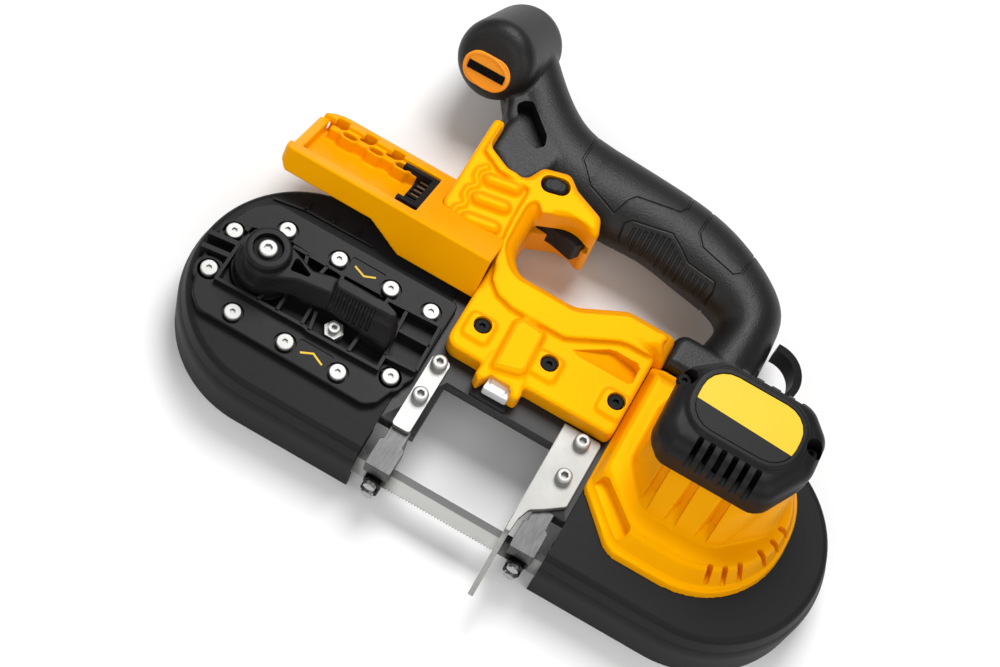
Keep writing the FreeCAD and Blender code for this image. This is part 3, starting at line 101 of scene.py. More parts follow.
# %% [markdown]
# Product pictures use a pale sweep and large soft lamps, so that black plastic still shows its form. The
# floor is a plane far wider than the view. The key lamp hangs high behind the handles and draws the
# bright line along their backs. Weaker lamps fill from the motor's side, from the tray's side and from
# the front.

# %% Floor and studio light


def lamp(name, place, target, size, power):
    """Square area lamp that looks from one drawing point to another."""
    bpy.ops.object.light_add(type="AREA", location=at(*place))
    light = bpy.context.object
    light.name = name
    light.data.size = size
    light.data.energy = power
    light.rotation_euler = (at(*target) - at(*place)).to_track_quat("-Z", "Y").to_euler()
    return light


bpy.ops.mesh.primitive_plane_add(size=12.0, location=(0.0, 0.0, -0.0005))
floor = bpy.context.object
floor.name = "floor"
lamp("key_lamp", (-120, 620, 1150), (0, 40, 40), 0.6, 13)
lamp("fill_lamp", (800, -300, 700), (60, 0, 40), 0.8, 4)
lamp("side_lamp", (-900, -100, 600), (-60, 40, 40), 0.7, 1.5)
lamp("front_lamp", (-100, -900, 750), (0, 0, 30), 0.8, 4)
world = bpy.data.worlds.new("studio")
world.use_nodes = True
world.node_tree.nodes["Background"].inputs["Color"].default_value = (1.0, 1.0, 1.0, 1.0)
world.node_tree.nodes["Background"].inputs["Strength"].default_value = 0.25
bpy.context.scene.world = world
bpy.context.scene.view_settings.view_transform = "Standard"
print("floor and four lamps")

# %% [markdown]
# A material is a small sum: colour, gloss and grain worked out from noise. Written as nodes by hand, a
# sum is hard to read, so this class lets Python write it. A `Wire` is one output of a node; `a * 2 + b`
# adds the Math nodes. Everything that isn't a sum comes from its one method `node`.

# %% A class for shader sums


class Wire:
    """One socket of a material's nodes, used like a number."""

    def __init__(self, tree, socket=None):
        self.tree = tree
        self.socket = socket

    def node(self, kind, settings=None, links=None, out=0):
        """Add any node: its settings are set first, then the values or links of its sockets."""
        made = self.tree.nodes.new("ShaderNode" + kind)
        for name, value in (settings or {}).items():
            if name == "stops":
                ramp = made.color_ramp
                while len(ramp.elements) < len(value):
                    ramp.elements.new(1.0)
                for element, (position, colour) in zip(ramp.elements, value):
                    element.position = position
                    element.color = colour
            else:
                setattr(made, name, value)
        for name, value in (links or {}).items():
            if isinstance(value, Wire):
                self.tree.links.new(value.socket, made.inputs[name])
            else:
                made.inputs[name].default_value = value
        return Wire(self.tree, made.outputs[out])

    def sum(self, operation, first, second):
        return self.node("Math", {"operation": operation}, {0: first, 1: second})

    def __add__(self, other):
        return self.sum("ADD", self, other)

    def __radd__(self, other):
        return self.sum("ADD", other, self)

    def __mul__(self, other):
        return self.sum("MULTIPLY", self, other)

    def __rmul__(self, other):
        return self.sum("MULTIPLY", other, self)

    def between(self, low, high):
        """0 below low, 1 above high, smooth between."""
        span = {"Value": self, "From Min": low, "From Max": high}
        return self.node("MapRange", {"interpolation_type": "SMOOTHSTEP"}, span)

    def tint(self, first, second):
        """Mix two colours, given as red, green and blue or as wires, by this value."""
        ends = [end if isinstance(end, Wire) else (*end, 1.0) for end in (first, second)]
        return self.node("Mix", {"data_type": "RGBA"}, {0: self, 6: ends[0], 7: ends[1]}, out=2)


print("class for shader sums")

# %% [markdown]
# Every finish starts the same way: a fresh material, its shader, and the piece's own coordinates, so that
# a pattern stays on a piece that moves. Noise is the only texture that is needed. `plug` leads a wire
# into the shader, and `grain` leads a height through a Bump node into its normal.

# %% Helpers for finishes


def new_finish(name, metal=0.0, gloss=0.5):
    """A fresh material, with its shader, the piece's own coordinates and the sum class ready to use."""
    material = bpy.data.materials.new(name)
    material.use_nodes = True
    shader = material.node_tree.nodes["Principled BSDF"]
    shader.inputs["Metallic"].default_value = metal
    shader.inputs["Specular IOR Level"].default_value = gloss
    place = Wire(material.node_tree).node("TexCoord", out="Object")
    return material, shader, place


def noise(place, scale, detail=3.0, stretch=None):
    """Noise over a piece; stretch gives a different scale along each axis."""
    if stretch:
        place = place.node("Mapping", None, {"Vector": place, "Scale": stretch})
    return place.node("TexNoise", None, {"Vector": place, "Scale": scale, "Detail": detail})


def plug(shader, socket, wire):
    """Lead a wire into one of the shader's sockets."""
    wire.tree.links.new(wire.socket, shader.inputs[socket])


def grain(shader, height, depth, strength=1.0):
    """Lead a height through a Bump node into the shader's normal; depth is in metres."""
    sockets = {"Height": height, "Distance": depth, "Strength": strength}
    plug(shader, "Normal", height.node("Bump", None, sockets, out="Normal"))


print("helpers for finishes")

# %% [markdown]
# The shells, the tray and the motor housing are moulded in a strong orange yellow. The mould is lightly
# textured, so the gloss is soft and breaks up in a fine grain. Two noises do it: a wide one for the faint
# unevenness of thick mouldings and a fine one for the mould's texture.

# %% Yellow moulding
yellow_finish, shader, place = new_finish("yellow_finish", gloss=0.55)
shader.inputs["Specular Tint"].default_value = (1.0, 0.80, 0.0, 1.0)
wide = noise(place, 14.0)
fine = noise(place, 1500.0, detail=2.0)
plug(shader, "Base Color", wide.between(0.3, 0.75).tint((0.88, 0.33, 0.0), (0.95, 0.39, 0.0)))
plug(shader, "Roughness", 0.30 + wide * 0.08 + fine * 0.08)
grain(shader, fine, 0.00006, 0.35)
print("yellow moulding")

# %% [markdown]
# The wheel guards are a filled black plastic with a dry surface. They take a grey sheen where they face
# the lamps, from a rather rough gloss, and a leather-like mould grain that shows only close up.

# %% Black guard moulding
guard_finish, shader, place = new_finish("guard_finish", gloss=0.13)
wide = noise(place, 22.0)
fine = noise(place, 1900.0, detail=2.0)
plug(shader, "Base Color", wide.tint((0.009, 0.009, 0.010), (0.014, 0.014, 0.015)))
plug(shader, "Roughness", 0.42 + wide * 0.10 + fine * 0.08)
grain(shader, fine, 0.00008, 0.4)
print("black guard moulding")

# %% [markdown]
# The cover plate, the lever, the cap and the small controls are a denser black plastic, a little glossier
# than the guards.

# %% Black moulding
black_finish, shader, place = new_finish("black_finish", gloss=0.16)
wide = noise(place, 30.0)
fine = noise(place, 1500.0, detail=2.0)
plug(shader, "Base Color", wide.tint((0.006, 0.006, 0.007), (0.011, 0.011, 0.012)))
plug(shader, "Roughness", 0.34 + wide * 0.10 + fine * 0.10)
grain(shader, fine, 0.00006, 0.4)
print("black moulding")

# %% [markdown]
# The grips are overmoulded in soft rubber. Rubber is rougher than plastic and has a coarser spark-eroded
# grain, which the picture shows as a fine speckle in the highlights.

# %% Grip rubber
grip_finish, shader, place = new_finish("grip_finish", gloss=0.36)
wide = noise(place, 26.0)
fine = noise(place, 900.0, detail=3.0)
plug(shader, "Base Color", wide.tint((0.003, 0.003, 0.003), (0.006, 0.006, 0.006)))
plug(shader, "Roughness", 0.36 + wide * 0.06 + fine * 0.14)
grain(shader, fine, 0.00035, 0.6)
print("grip rubber")

# %% [markdown]
# Zinc plate is bright but never a mirror: a thin cloudy layer over cold-rolled steel. Blocks and bearings
# are ground or brushed, so their noise is stretched into lines along the way the belt ran.

# %% Steel finishes
EVEN = (1.0, 1.0, 1.0)


def steel(name, dark, light, rough, stretch=EVEN, scale=300.0):
    """Bare or plated steel: brushed streaks in colour, gloss and grain."""
    material, shader, place = new_finish(name, metal=1.0)
    streaks = noise(place, scale, detail=4.0, stretch=stretch)
    clouds = noise(place, 60.0)
    plug(shader, "Base Color", streaks.tint(dark, light))
    plug(shader, "Roughness", rough + streaks * 0.16 + clouds * 0.10)
    grain(shader, streaks, 0.00004, 0.3)
    return material


plated_finish = steel("plated_finish", (0.36, 0.36, 0.35), (0.54, 0.54, 0.53), 0.42, scale=500.0)
frosted_finish = steel("frosted_finish", (0.30, 0.30, 0.29), (0.46, 0.46, 0.44), 0.44, scale=420.0)
brushed_finish = steel("brushed_finish", (0.02, 0.02, 0.02), (0.17, 0.17, 0.17), 0.32, (6.0, 0.5, 0.5))
dark_finish = steel("dark_finish", (0.004, 0.004, 0.004), (0.014, 0.014, 0.014), 0.34, scale=700.0)
ground_finish = steel("ground_finish", (0.42, 0.42, 0.43), (0.66, 0.66, 0.66), 0.22, (1.0, 1.0, 6.0))
cast_finish = steel("cast_finish", (0.46, 0.46, 0.47), (0.60, 0.60, 0.61), 0.34, scale=900.0)
iron_finish = steel("iron_finish", (0.10, 0.09, 0.08), (0.20, 0.18, 0.16), 0.40, (1.0, 1.0, 12.0))
brass_finish = steel("brass_finish", (0.62, 0.40, 0.16), (0.86, 0.62, 0.30), 0.22)
print("eight metal finishes")

# %% [markdown]
# The band is rolled steel, and its back is tempered darker than the strip that carries the teeth. The
# line between the two runs along the band, so the finish asks how far across the saw a point lies.

# %% Blade finish
BACK_LINE = at(0, -58.4, 0).y
blade_finish, shader, place = new_finish("blade_finish", metal=1.0)
across = place.node("SeparateXYZ", None, {"Vector": place}, out="Y")
streaks = noise(place, 300.0, detail=4.0, stretch=(0.4, 6.0, 6.0))
bright = streaks.tint((0.19, 0.19, 0.18), (0.26, 0.26, 0.25))
dull = streaks.tint((0.07, 0.07, 0.07), (0.11, 0.11, 0.11))
plug(shader, "Base Color", across.between(BACK_LINE - 0.0004, BACK_LINE + 0.0004).tint(bright, dull))
plug(shader, "Roughness", 0.42 + streaks * 0.16)
grain(shader, streaks, 0.00004, 0.3)
print("blade finish")

# %% [markdown]
# The frame casting is painted black, the tyres are smooth rubber, the key's plug is orange plastic, the
# plate on the cap is a clean yellow, and the lens over the work light is clear with a faint frost.

# %% Paint, tyre, plug, plate and lens


def plain_plastic(name, dark, light, rough, scale, depth):
    """Moulded or painted surface with a faint mottle and an even grain."""
    material, shader, place = new_finish(name, gloss=0.3)
    mottle = noise(place, scale)
    fine = noise(place, 1600.0, detail=2.0)
    plug(shader, "Base Color", mottle.tint(dark, light))
    plug(shader, "Roughness", rough + mottle * 0.08 + fine * 0.06)
    grain(shader, fine, depth, 0.4)
    return material


paint_finish = plain_plastic(
    "paint_finish", (0.008, 0.008, 0.009), (0.014, 0.014, 0.015), 0.36, 40.0, 0.00006
)
tyre_finish = plain_plastic(
    "tyre_finish", (0.012, 0.012, 0.012), (0.022, 0.022, 0.022), 0.55, 50.0, 0.00008
)
orange_finish = plain_plastic(
    "orange_finish", (0.80, 0.25, 0.008), (0.95, 0.36, 0.012), 0.36, 40.0, 0.00005
)
plate_finish = plain_plastic(
    "plate_finish", (0.72, 0.46, 0.0), (0.78, 0.52, 0.0), 0.34, 30.0, 0.00002
)
lens_finish, shader, place = new_finish("lens_finish")
frost = noise(place, 900.0, detail=2.0)
plug(shader, "Base Color", frost.tint((0.86, 0.88, 0.88), (0.97, 0.98, 0.98)))
plug(shader, "Roughness", 0.08 + frost * 0.12)
shader.inputs["Transmission Weight"].default_value = 0.15
shader.inputs["IOR"].default_value = 1.49
print("paint, tyre, plug, plate and lens")

# %% [markdown]
# The solid nodes whose shape is already right keep it, and only take a finish. The record names a slot
# for each node, so one table from slot to finish dresses them all.

# %% Dress the solid nodes
FINISH_OF_SLOT = {
    "yellow_plastic": yellow_finish,
    "guard_black": guard_finish,
    "frame_black": paint_finish,
    "black_plastic": black_finish,
    "grip_rubber": grip_finish,
    "plated_steel": plated_finish,
    "block_steel": brushed_finish,
    "blade_steel": blade_finish,
    "dark_steel": dark_finish,
    "bearing_steel": ground_finish,
    "cast_aluminium": cast_finish,
    "motor_iron": iron_finish,
    "tyre_rubber": tyre_finish,
    "orange_plastic": orange_finish,
    "badge_yellow": plate_finish,
    "contact_brass": brass_finish,
    "lens_clear": lens_finish,
}
for entry in frame["record"]["subparts"]:
    solid = nodes[entry["node"]]
    solid.data.materials.clear()
    solid.data.materials.append(FINISH_OF_SLOT[entry["material_slot"]])
nodes["work_stop"].data.materials[0] = frosted_finish
floor_finish = plain_plastic(
    "floor_finish", (0.91, 0.91, 0.91), (0.93, 0.93, 0.93), 0.7, 2.0, 0.00001
)
floor.data.materials.append(floor_finish)

# %% [markdown]
# ## Hand tools
# Modelling by hand is a short list of moves: pick a few corners, pull them, round them, cut one solid
# with another. An operator acts on everything that is selected, so each move here first selects exactly
# what it needs, by its place on the drawing.

# %% Select and apply
MM = 0.001


def settle():
    """Go back to object mode with nothing selected."""
    if bpy.context.mode != "OBJECT":
        bpy.ops.object.mode_set(mode="OBJECT")
    bpy.ops.object.select_all(action="DESELECT")


def take(*pieces):
    """Select only these pieces; the first is the active one."""
    settle()
    for piece in pieces:
        piece.select_set(True)
    bpy.context.view_layer.objects.active = pieces[0]


def open_up(piece):
    """Take one piece into edit mode."""
    take(piece)
    bpy.ops.object.mode_set(mode="EDIT")


def pick(piece, kind, wanted):
    """In edit mode, select the verts, edges or faces all of whose corners are wanted drawing points."""
    bpy.ops.mesh.select_mode(type={"verts": "VERT", "edges": "EDGE", "faces": "FACE"}[kind])
    bpy.ops.mesh.select_all(action="DESELECT")
    mesh = bmesh.from_edit_mesh(piece.data)
    for element in getattr(mesh, kind):
        corners = [element] if kind == "verts" else element.verts
        element.select_set(all(wanted((corner.co - drawing_zero) / MM) for corner in corners))
    bmesh.update_edit_mesh(piece.data)


def use(piece, kind, **settings):
    """Add a modifier and apply it."""
    take(piece)
    modifier = piece.modifiers.new(kind, kind)
    for name, value in settings.items():
        setattr(modifier, name, value)
    bpy.ops.object.modifier_apply(modifier=modifier.name)
    if piece.modifiers:
        raise RuntimeError(kind + " did not take on " + piece.name)


print("tools to select and apply")

# %% [markdown]
# Most mouldings start as an outline. A disc with as many rim corners as the outline is dragged out to it,
# corner by corner, and each corner is rounded with a vertex bevel. Edges are rounded with an edge bevel,
# and are picked by their place.

# %% Outlines and rounded edges


def close(piece):
    """Turn all faces outwards and leave edit mode."""
    bpy.ops.mesh.select_all(action="SELECT")
    bpy.ops.mesh.normals_make_consistent(inside=False)
    settle()
    return piece


def outline_face(name, corners, z, steps=5):
    """Flat face through (x, y, round) corners, left open in edit mode."""
    settle()
    bpy.ops.mesh.primitive_circle_add(
        vertices=len(corners), radius=MM, fill_type="NGON", location=at(0, 0, z)
    )
    piece = bpy.context.object
    piece.name = name
    bpy.ops.object.transform_apply(location=True)
    bpy.ops.object.mode_set(mode="EDIT")
    bpy.ops.mesh.select_mode(type="VERT")
    for index, (x, y, _) in enumerate(corners):
        bpy.ops.mesh.select_all(action="DESELECT")
        mesh = bmesh.from_edit_mesh(piece.data)
        mesh.verts.ensure_lookup_table()
        mesh.verts[index].select_set(True)
        bpy.ops.transform.translate(value=at(x, y, z) - mesh.verts[index].co)
    for index, (x, y, rounding) in enumerate(corners):
        if rounding:
            here = Vector((x, y, z))
            before = Vector((*corners[index - 1][:2], z)) - here
            after = Vector((*corners[(index + 1) % len(corners)][:2], z)) - here
            reach = rounding / math.tan(before.angle(after) / 2)
            pick(piece, "verts", lambda point: (point - here).length < 0.01)
            bpy.ops.mesh.bevel(offset=reach * MM, segments=steps, affect="VERTICES", clamp_overlap=False)
    return piece


def round_over(piece, radius, wanted, steps=4):
    """Round the edges between wanted points."""
    open_up(piece)
    pick(piece, "edges", wanted)
    bpy.ops.mesh.bevel(offset=radius * MM, segments=steps, affect="EDGES", clamp_overlap=False)
    return close(piece)


print("outlines and rounded edges")

# %% [markdown]
# Extruded, an outline becomes a block, and two outlines bridged together become a tapered one. Round
# things start from a cylinder. Many cuts are rounded rectangles, so their corners come from a helper.

# %% Blocks, tapers and cans


def block(name, corners, low, high, roll=0.0, steps=4):
    """Solid of an outline between two heights, its upper edge rolled over."""
    piece = outline_face(name, corners, low)
    bpy.ops.mesh.select_all(action="SELECT")
    bpy.ops.mesh.extrude_region_move(TRANSFORM_OT_translate={"value": (0, 0, (high - low) * MM)})
    close(piece)
    if roll:
        round_over(piece, roll, lambda point: point.z > high - 0.01, steps)
    return piece


def taper(name, lower, low, upper, high, steps=5):
    """Solid between two outlines that have as many corners."""
    piece = outline_face(name, lower, low, steps)
    top = outline_face(name + "_top", upper, high, steps)
    take(piece, top)
    bpy.ops.object.join()
    bpy.ops.object.mode_set(mode="EDIT")
    bpy.ops.mesh.select_mode(type="EDGE")
    bpy.ops.mesh.select_all(action="SELECT")
    bpy.ops.mesh.bridge_edge_loops()
    bpy.ops.mesh.select_all(action="SELECT")
    bpy.ops.mesh.fill_holes(sides=0)
    return close(piece)


def can(name, x, y, low, high, radius, roll=0.0):
    """Upright cylinder, its upper edge rolled over."""
    settle()
    middle = at(x, y, (low + high) / 2)
    bpy.ops.mesh.primitive_cylinder_add(
        vertices=48, radius=radius * MM, depth=(high - low) * MM, location=middle
    )
    piece = bpy.context.object
    piece.name = name
    bpy.ops.object.transform_apply(location=True)
    if roll:
        round_over(piece, roll, lambda point: point.z > high - 0.01)
    return piece


def box_at(x, y, length, width, rounding, turn=0.0):
    """Corners of a rounded rectangle about a point, turned by some degrees."""
    way = Vector((math.cos(math.radians(turn)), math.sin(math.radians(turn))))
    side = Vector((-way.y, way.x))
    signs = ((-1, -1), (1, -1), (1, 1), (-1, 1))
    spots = [Vector((x, y)) + way * (a * length / 2) + side * (b * width / 2) for a, b in signs]
    return [(spot.x, spot.y, rounding) for spot in spots]


print("blocks, tapers and cans")

# %% [markdown]
# A handle is a bar that bends and swells. An oval face is set at the first station and extruded from
# station to station; after each step the new face is turned to the bar's heading and scaled to its width.
# Without a window the rotate operator turns the other way, so the angle is given with the opposite sign.
# A strip is a thin upright wall along a line of points: one corner is extruded from point to point,
# raised, and given its thickness. It makes ribs, webs and loops.

# %% Bars and strips


def bar(name, stations, depth, z):
    """Oval bar through (x, y, half width, heading in degrees) stations; depth is half its height."""
    settle()
    x, y, width, heading = stations[0]
    middle = at(x, y, z)
    bpy.ops.mesh.primitive_circle_add(
        vertices=32, radius=MM, fill_type="NGON", location=middle, rotation=(0, math.pi / 2, 0)
    )
    piece = bpy.context.object
    piece.name = name
    bpy.ops.object.transform_apply(location=True, rotation=True)
    bpy.ops.object.mode_set(mode="EDIT")
    bpy.ops.mesh.select_all(action="SELECT")
    bpy.ops.transform.resize(value=(1.0, width, depth), center_override=middle)
    bpy.ops.transform.rotate(value=-math.radians(heading), orient_axis="Z", center_override=middle)
    for x, y, new_width, new_heading in stations[1:]:
        step = at(x, y, z) - middle
        middle = at(x, y, z)
        swell = new_width / width
        bpy.ops.mesh.extrude_region_move(TRANSFORM_OT_translate={"value": step})
        bpy.ops.transform.resize(value=(swell, swell, 1.0), center_override=middle)
        turn = math.radians(new_heading - heading)
        bpy.ops.transform.rotate(value=-turn, orient_axis="Z", center_override=middle)
        width = new_width
        heading = new_heading
    close(piece)
    use(piece, "SUBSURF", levels=2, render_levels=2)
    return piece


def lone_point(name, place):
    """One corner to extrude from, left selected in edit mode."""
    settle()
    bpy.ops.mesh.primitive_plane_add(size=MM, location=place)
    piece = bpy.context.object
    piece.name = name
    bpy.ops.object.transform_apply(location=True)
    bpy.ops.object.mode_set(mode="EDIT")
    bpy.ops.mesh.select_mode(type="VERT")
    bpy.ops.mesh.select_all(action="SELECT")
    bpy.ops.mesh.merge(type="CENTER")
    return piece


def strip(name, points, low, high, width):
    """Thin upright wall along drawing points."""
    piece = lone_point(name, at(*points[0], low))
    for start, end in zip(points, points[1:]):
        step = at(*end, low) - at(*start, low)
        bpy.ops.mesh.extrude_region_move(TRANSFORM_OT_translate={"value": step})
    bpy.ops.mesh.select_all(action="SELECT")
    bpy.ops.mesh.extrude_region_move(TRANSFORM_OT_translate={"value": (0, 0, (high - low) * MM)})
    settle()
    use(piece, "SOLIDIFY", thickness=width * MM, offset=0.0, use_even_offset=True)
    open_up(piece)
    return close(piece)


print("bars and strips")

# %% [markdown]
# Solids are then added to and cut from each other. Real mouldings have no sharp inner corners, so the sum
# of several solids is melted into one skin: a voxel remesh joins them and a light smoothing rounds every
# edge. The exact cutter is slow on a skin of many faces, so such a skin takes the manifold one. A cut that
# is open at the top ends `ABOVE` the whole saw, and one that is open below starts `BELOW` it.

# %% Add, cut and melt
MANY_FACES = 6000
ABOVE = 130
BELOW = -20


def combine(piece, tool, operation="DIFFERENCE", solver="EXACT"):
    """Cut a tool from a piece, or add it; the tool is used up."""
    if len(piece.data.polygons) + len(tool.data.polygons) > MANY_FACES:
        solver = "MANIFOLD"
    use(piece, "BOOLEAN", operation=operation, object=tool, solver=solver)
    if not piece.data.polygons:
        raise RuntimeError("nothing is left of " + piece.name)
    bpy.data.objects.remove(tool)


def together(first, *rest):
    """Join pieces into the first one."""
    take(first, *rest)
    bpy.ops.object.join()
    return first


def melt(piece, voxel, rounds):
    """Fuse overlapping solids into one skin with soft edges."""
    use(piece, "REMESH", mode="VOXEL", voxel_size=voxel * MM)
    use(piece, "SMOOTH", factor=0.5, iterations=rounds)


def copy_of(piece, name):
    """A copy with its own mesh."""
    take(piece)
    bpy.ops.object.duplicate(linked=False)
    bpy.context.object.name = name
    return bpy.context.object


print("add, cut and melt")

# %% [markdown]
# A seam is a shallow line. A thin cord starts above the piece, is dropped on its skin along the seam's
# points, gets its thickness as a curve, and is cut out of the skin.

# %% Seams
WELD_GAP = 0.01
CORD_HEIGHT = 140
CORD_STEP = 1.5


def weld(piece):
    """Merge doubled corners and turn all faces outwards."""
    open_up(piece)
    bpy.ops.mesh.select_all(action="SELECT")
    bpy.ops.mesh.remove_doubles(threshold=WELD_GAP * MM)
    return close(piece)


def seam(piece, points, width, below=False):
    """Lay a thin round cord along drawing points on the skin of a piece, and cut it out."""
    height = -CORD_HEIGHT if below else CORD_HEIGHT
    cord = lone_point("cord", at(*points[0], height))
    for start, end in zip(points, points[1:]):
        step = Vector((end[0] - start[0], end[1] - start[1], 0)) * MM
        parts = max(1, round(step.length / (CORD_STEP * MM)))
        for _ in range(parts):
            bpy.ops.mesh.extrude_region_move(TRANSFORM_OT_translate={"value": step / parts})
    settle()
    use(
        cord, "SHRINKWRAP", target=piece, wrap_method="PROJECT", use_project_z=True,
        use_negative_direction=not below, use_positive_direction=below,
    )
    take(cord)
    bpy.ops.object.convert(target="CURVE")
    cord.data.bevel_depth = width / 2 * MM
    cord.data.bevel_resolution = 1
    cord.data.use_fill_caps = True
    bpy.ops.object.convert(target="MESH")
    weld(cord)
    combine(piece, cord)


print("seams")

# %% [markdown]
# A finished piece is shaded, takes its finish, and is told which body carries it and which solid nodes it
# stands for. Crisp pieces are shaded by face weight, so that a flat face stays flat beside a small
# rounding.

# %% Fit a finished piece
CRISP_FACES = 4000
SMOOTH_ANGLE = math.radians(38)


def fit(piece, finish, slot, body, *replaced):
    """Shade a finished piece, and name its body and the solid nodes it stands for; the slot is not used."""
    take(piece)
    bpy.ops.object.shade_smooth_by_angle(angle=SMOOTH_ANGLE)
    if len(piece.data.polygons) < CRISP_FACES:
        use(piece, "WEIGHTED_NORMAL", keep_sharp=True)
    piece.data.materials.clear()
    piece.data.materials.append(finish)
    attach(piece, body)
    if replaced:
        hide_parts(*replaced)
    print(piece.name, len(piece.data.polygons), "faces")


print("fit")

# %% [markdown]
# ## Handles
# The front handle ends in a round head, whose axis leans up and towards the blade's side. What belongs to
# the head is turned from cylinders along that axis, so its place and its direction come first.

# %% Axis of the head
HEAD_AXIS = Vector((-0.118, -0.80, 0.588)).normalized()
HEAD_TURN = HEAD_AXIS.to_track_quat("Z", "Y").to_euler()
HEAD_MIDDLE = Vector((-99, 197, 38))
HEAD_LENGTH = 63.0
HEAD_FOOT = HEAD_MIDDLE - HEAD_AXIS * 32 + Vector((0, HEAD_AXIS.z, -HEAD_AXIS.y)) * 6


def head_can(name, middle, length, radius):
    """Cylinder along the axis of the front handle's head."""
    settle()
    bpy.ops.mesh.primitive_cylinder_add(
        vertices=48, radius=radius * MM, depth=length * MM, location=at(*middle), rotation=HEAD_TURN
    )
    piece = bpy.context.object
    piece.name = name
    bpy.ops.object.transform_apply(location=True, rotation=True)
    return piece


print("head leans", round(math.degrees(math.asin(HEAD_AXIS.z))), "degrees up")

# %% [markdown]
# The main handle and the front stem are one flowing black bar that forks at the trigger, with a foot down
# to the motor housing and the round head at the front. Each is a bar through a few stations; melted
# together they get the soft fork of an overmoulded grip.

# %% Bars of the handles
handles = bar("main_grip", [
    (-40, 156, 26.5, 0), (-23, 154.5, 27.5, 0), (5, 153.5, 27.3, 0), (25, 154, 25.5, 0),
    (45, 151.5, 26.5, -4), (64, 147, 26, -20), (85.5, 138, 23.5, -45), (99, 128, 19.8, -56),
    (100.5, 115.5, 17.7, -68), (99.5, 101.5, 18.2, -82), (98.5, 88, 18.8, -90), (98.5, 74, 19, -90),
], 19, 33)
stem = bar("front_stem", [
    (-8, 154.3, 27.2, 180), (-23, 154.5, 27.5, 180), (-42, 158, 27, 158), (-60, 171, 23.5, 135),
    (-76, 190, 19.5, 128), (-90, 207, 19, 128), (-97, 216, 16, 128),
], 19.5, 33)
head = head_can("head", HEAD_FOOT + HEAD_AXIS * HEAD_LENGTH / 2, HEAD_LENGTH, 24)
round_over(head, 10, lambda point: (point - HEAD_FOOT).dot(HEAD_AXIS) > HEAD_LENGTH - 0.01)
round_over(head, 11, lambda point: (point - HEAD_FOOT).dot(HEAD_AXIS) < 0.01)
foot = block("handle_foot", [(66, 68, 3), (117, 68, 6), (117, 92, 10), (66, 92, 8)], 14, 52, 6)
yoke_outline = [
    (-79, 133, 2), (-62, 122, 4), (-50, 122, 4), (-40, 140, 4),
    (-36, 160, 8), (-62, 172, 8), (-75, 166, 6), (-79, 152, 4),
]
yoke = block("stem_yoke", yoke_outline, 15, 51.5, 5)
pad_outline = [
    (-85, 171, 4), (-81, 158, 4), (-65, 142, 5), (-53, 141, 4),
    (-46, 151, 4), (-49, 161, 4), (-70, 180, 5), (-80, 179, 4),
]
pad = block("recess_pad", pad_outline, 30, 50.5, 3.5)
together(handles, stem, head, foot, yoke, pad)
melt(handles, 1.1, 7)
print("handles melted:", len(handles.data.polygons), "faces")

# %% [markdown]
# Two rubbers and a plastic meet on the grip: their seams are thin dark lines, and under the index finger
# lies a panel of close ribs. All are cords that only scratch the skin. The lines are cut on both sides
# alike, because the two halves of such a handle are mirror images.

# %% Seams and ribs of the grip
SEAM = [
    (-29.2, 186), (-29.3, 155.1), (-25.1, 150.8), (-18.9, 144), (1.3, 137),
    (4.8, 147.2), (7.9, 151.6), (33.9, 157.2), (36.2, 161.9), (36.1, 186),
]
PANEL = [(50.8, 186), (48.7, 151.4), (54.2, 144.2), (76.9, 138.3), (80.7, 141.6), (84, 176)]
RIB_PANEL = [
    (22, 112), (19.4, 119.9), (10.1, 129.2), (8.9, 135.4), (12.6, 138.6), (35.7, 143),
    (43.2, 138.7), (51.2, 133.2), (70, 130.2), (71.7, 125.2), (70, 106),
]
RIB_TOPS = [(14, 136), (35, 140.5), (43, 136), (51, 131), (68, 128)]
for line in (SEAM, PANEL, RIB_PANEL):
    seam(handles, line, 1.8)
    seam(handles, line, 1.8, below=True)
for step in range(16):
    x = 15.5 + 3.4 * step
    left, right = [pair for pair in zip(RIB_TOPS, RIB_TOPS[1:]) if pair[0][0] <= x <= pair[1][0]][0]
    top = left[1] + (right[1] - left[1]) * (x - left[0]) / (right[0] - left[0])
    seam(handles, [(x, max(118, 141 - x)), (x, top)], 1.9)
recess = [
    (-78.5, 167.3, 3), (-76.1, 162.6, 3), (-62.8, 147.5, 4), (-55.7, 146.2, 3),
    (-51.8, 151.2, 3), (-53.8, 157.5, 4), (-71.4, 173.7, 3), (-75.6, 171.6, 2),
]
combine(handles, block("recess", recess, 39, ABOVE))
print("seams, ribs and the stem's recess")

# %% [markdown]
# The handle leaves room for what it holds: the hook folds into the foot, the key's oval plug fills the
# head, and the yellow shell sits in a cut of its own outline.

# %% Rooms in the handles
LOCK = (-34.5, 128.4)
LOCK_BORE = 4.9
PLUG_FACE = HEAD_MIDDLE + HEAD_AXIS * 31
PLUG_OVAL = (1.5, 1.0, 1.0)
SHELL = [
    (-42, 11, 7), (62, 11, 4), (62, 65.2, 1), (68, 65.2, 3.2), (68, 87, 5), (36, 87, 12),
    (9, 72.5, 12), (-26, 72.5, 9), (-34, 82, 9), (-35, 108, 3), (-13, 118, 16), (3.5, 109, 3.5),
    (-3, 126, 5), (-22, 134, 6), (-30, 141, 5), (-46, 136, 5), (-51, 124, 5), (-62, 124, 7),
    (-77, 131, 5), (-77, 150, 3.2), (-84, 150, 3.2), (-84, 84, 5), (-42, 70, 6),
]
combine(handles, block("shell_room", SHELL, BELOW, ABOVE))
combine(handles, block("hook_room", [(103, 60, 0), (130, 60, 0), (130, 99, 0), (103, 99, 0)], 24.5, 41.5))
combine(handles, can("lock_bore", *LOCK, BELOW, ABOVE, LOCK_BORE))
key_room = head_can("key_room", PLUG_FACE, 66, 10.1)
open_up(key_room)
bpy.ops.mesh.select_all(action="SELECT")
bpy.ops.transform.resize(value=PLUG_OVAL, center_override=at(*PLUG_FACE))
settle()
combine(handles, key_room)
print("rooms in the handles")

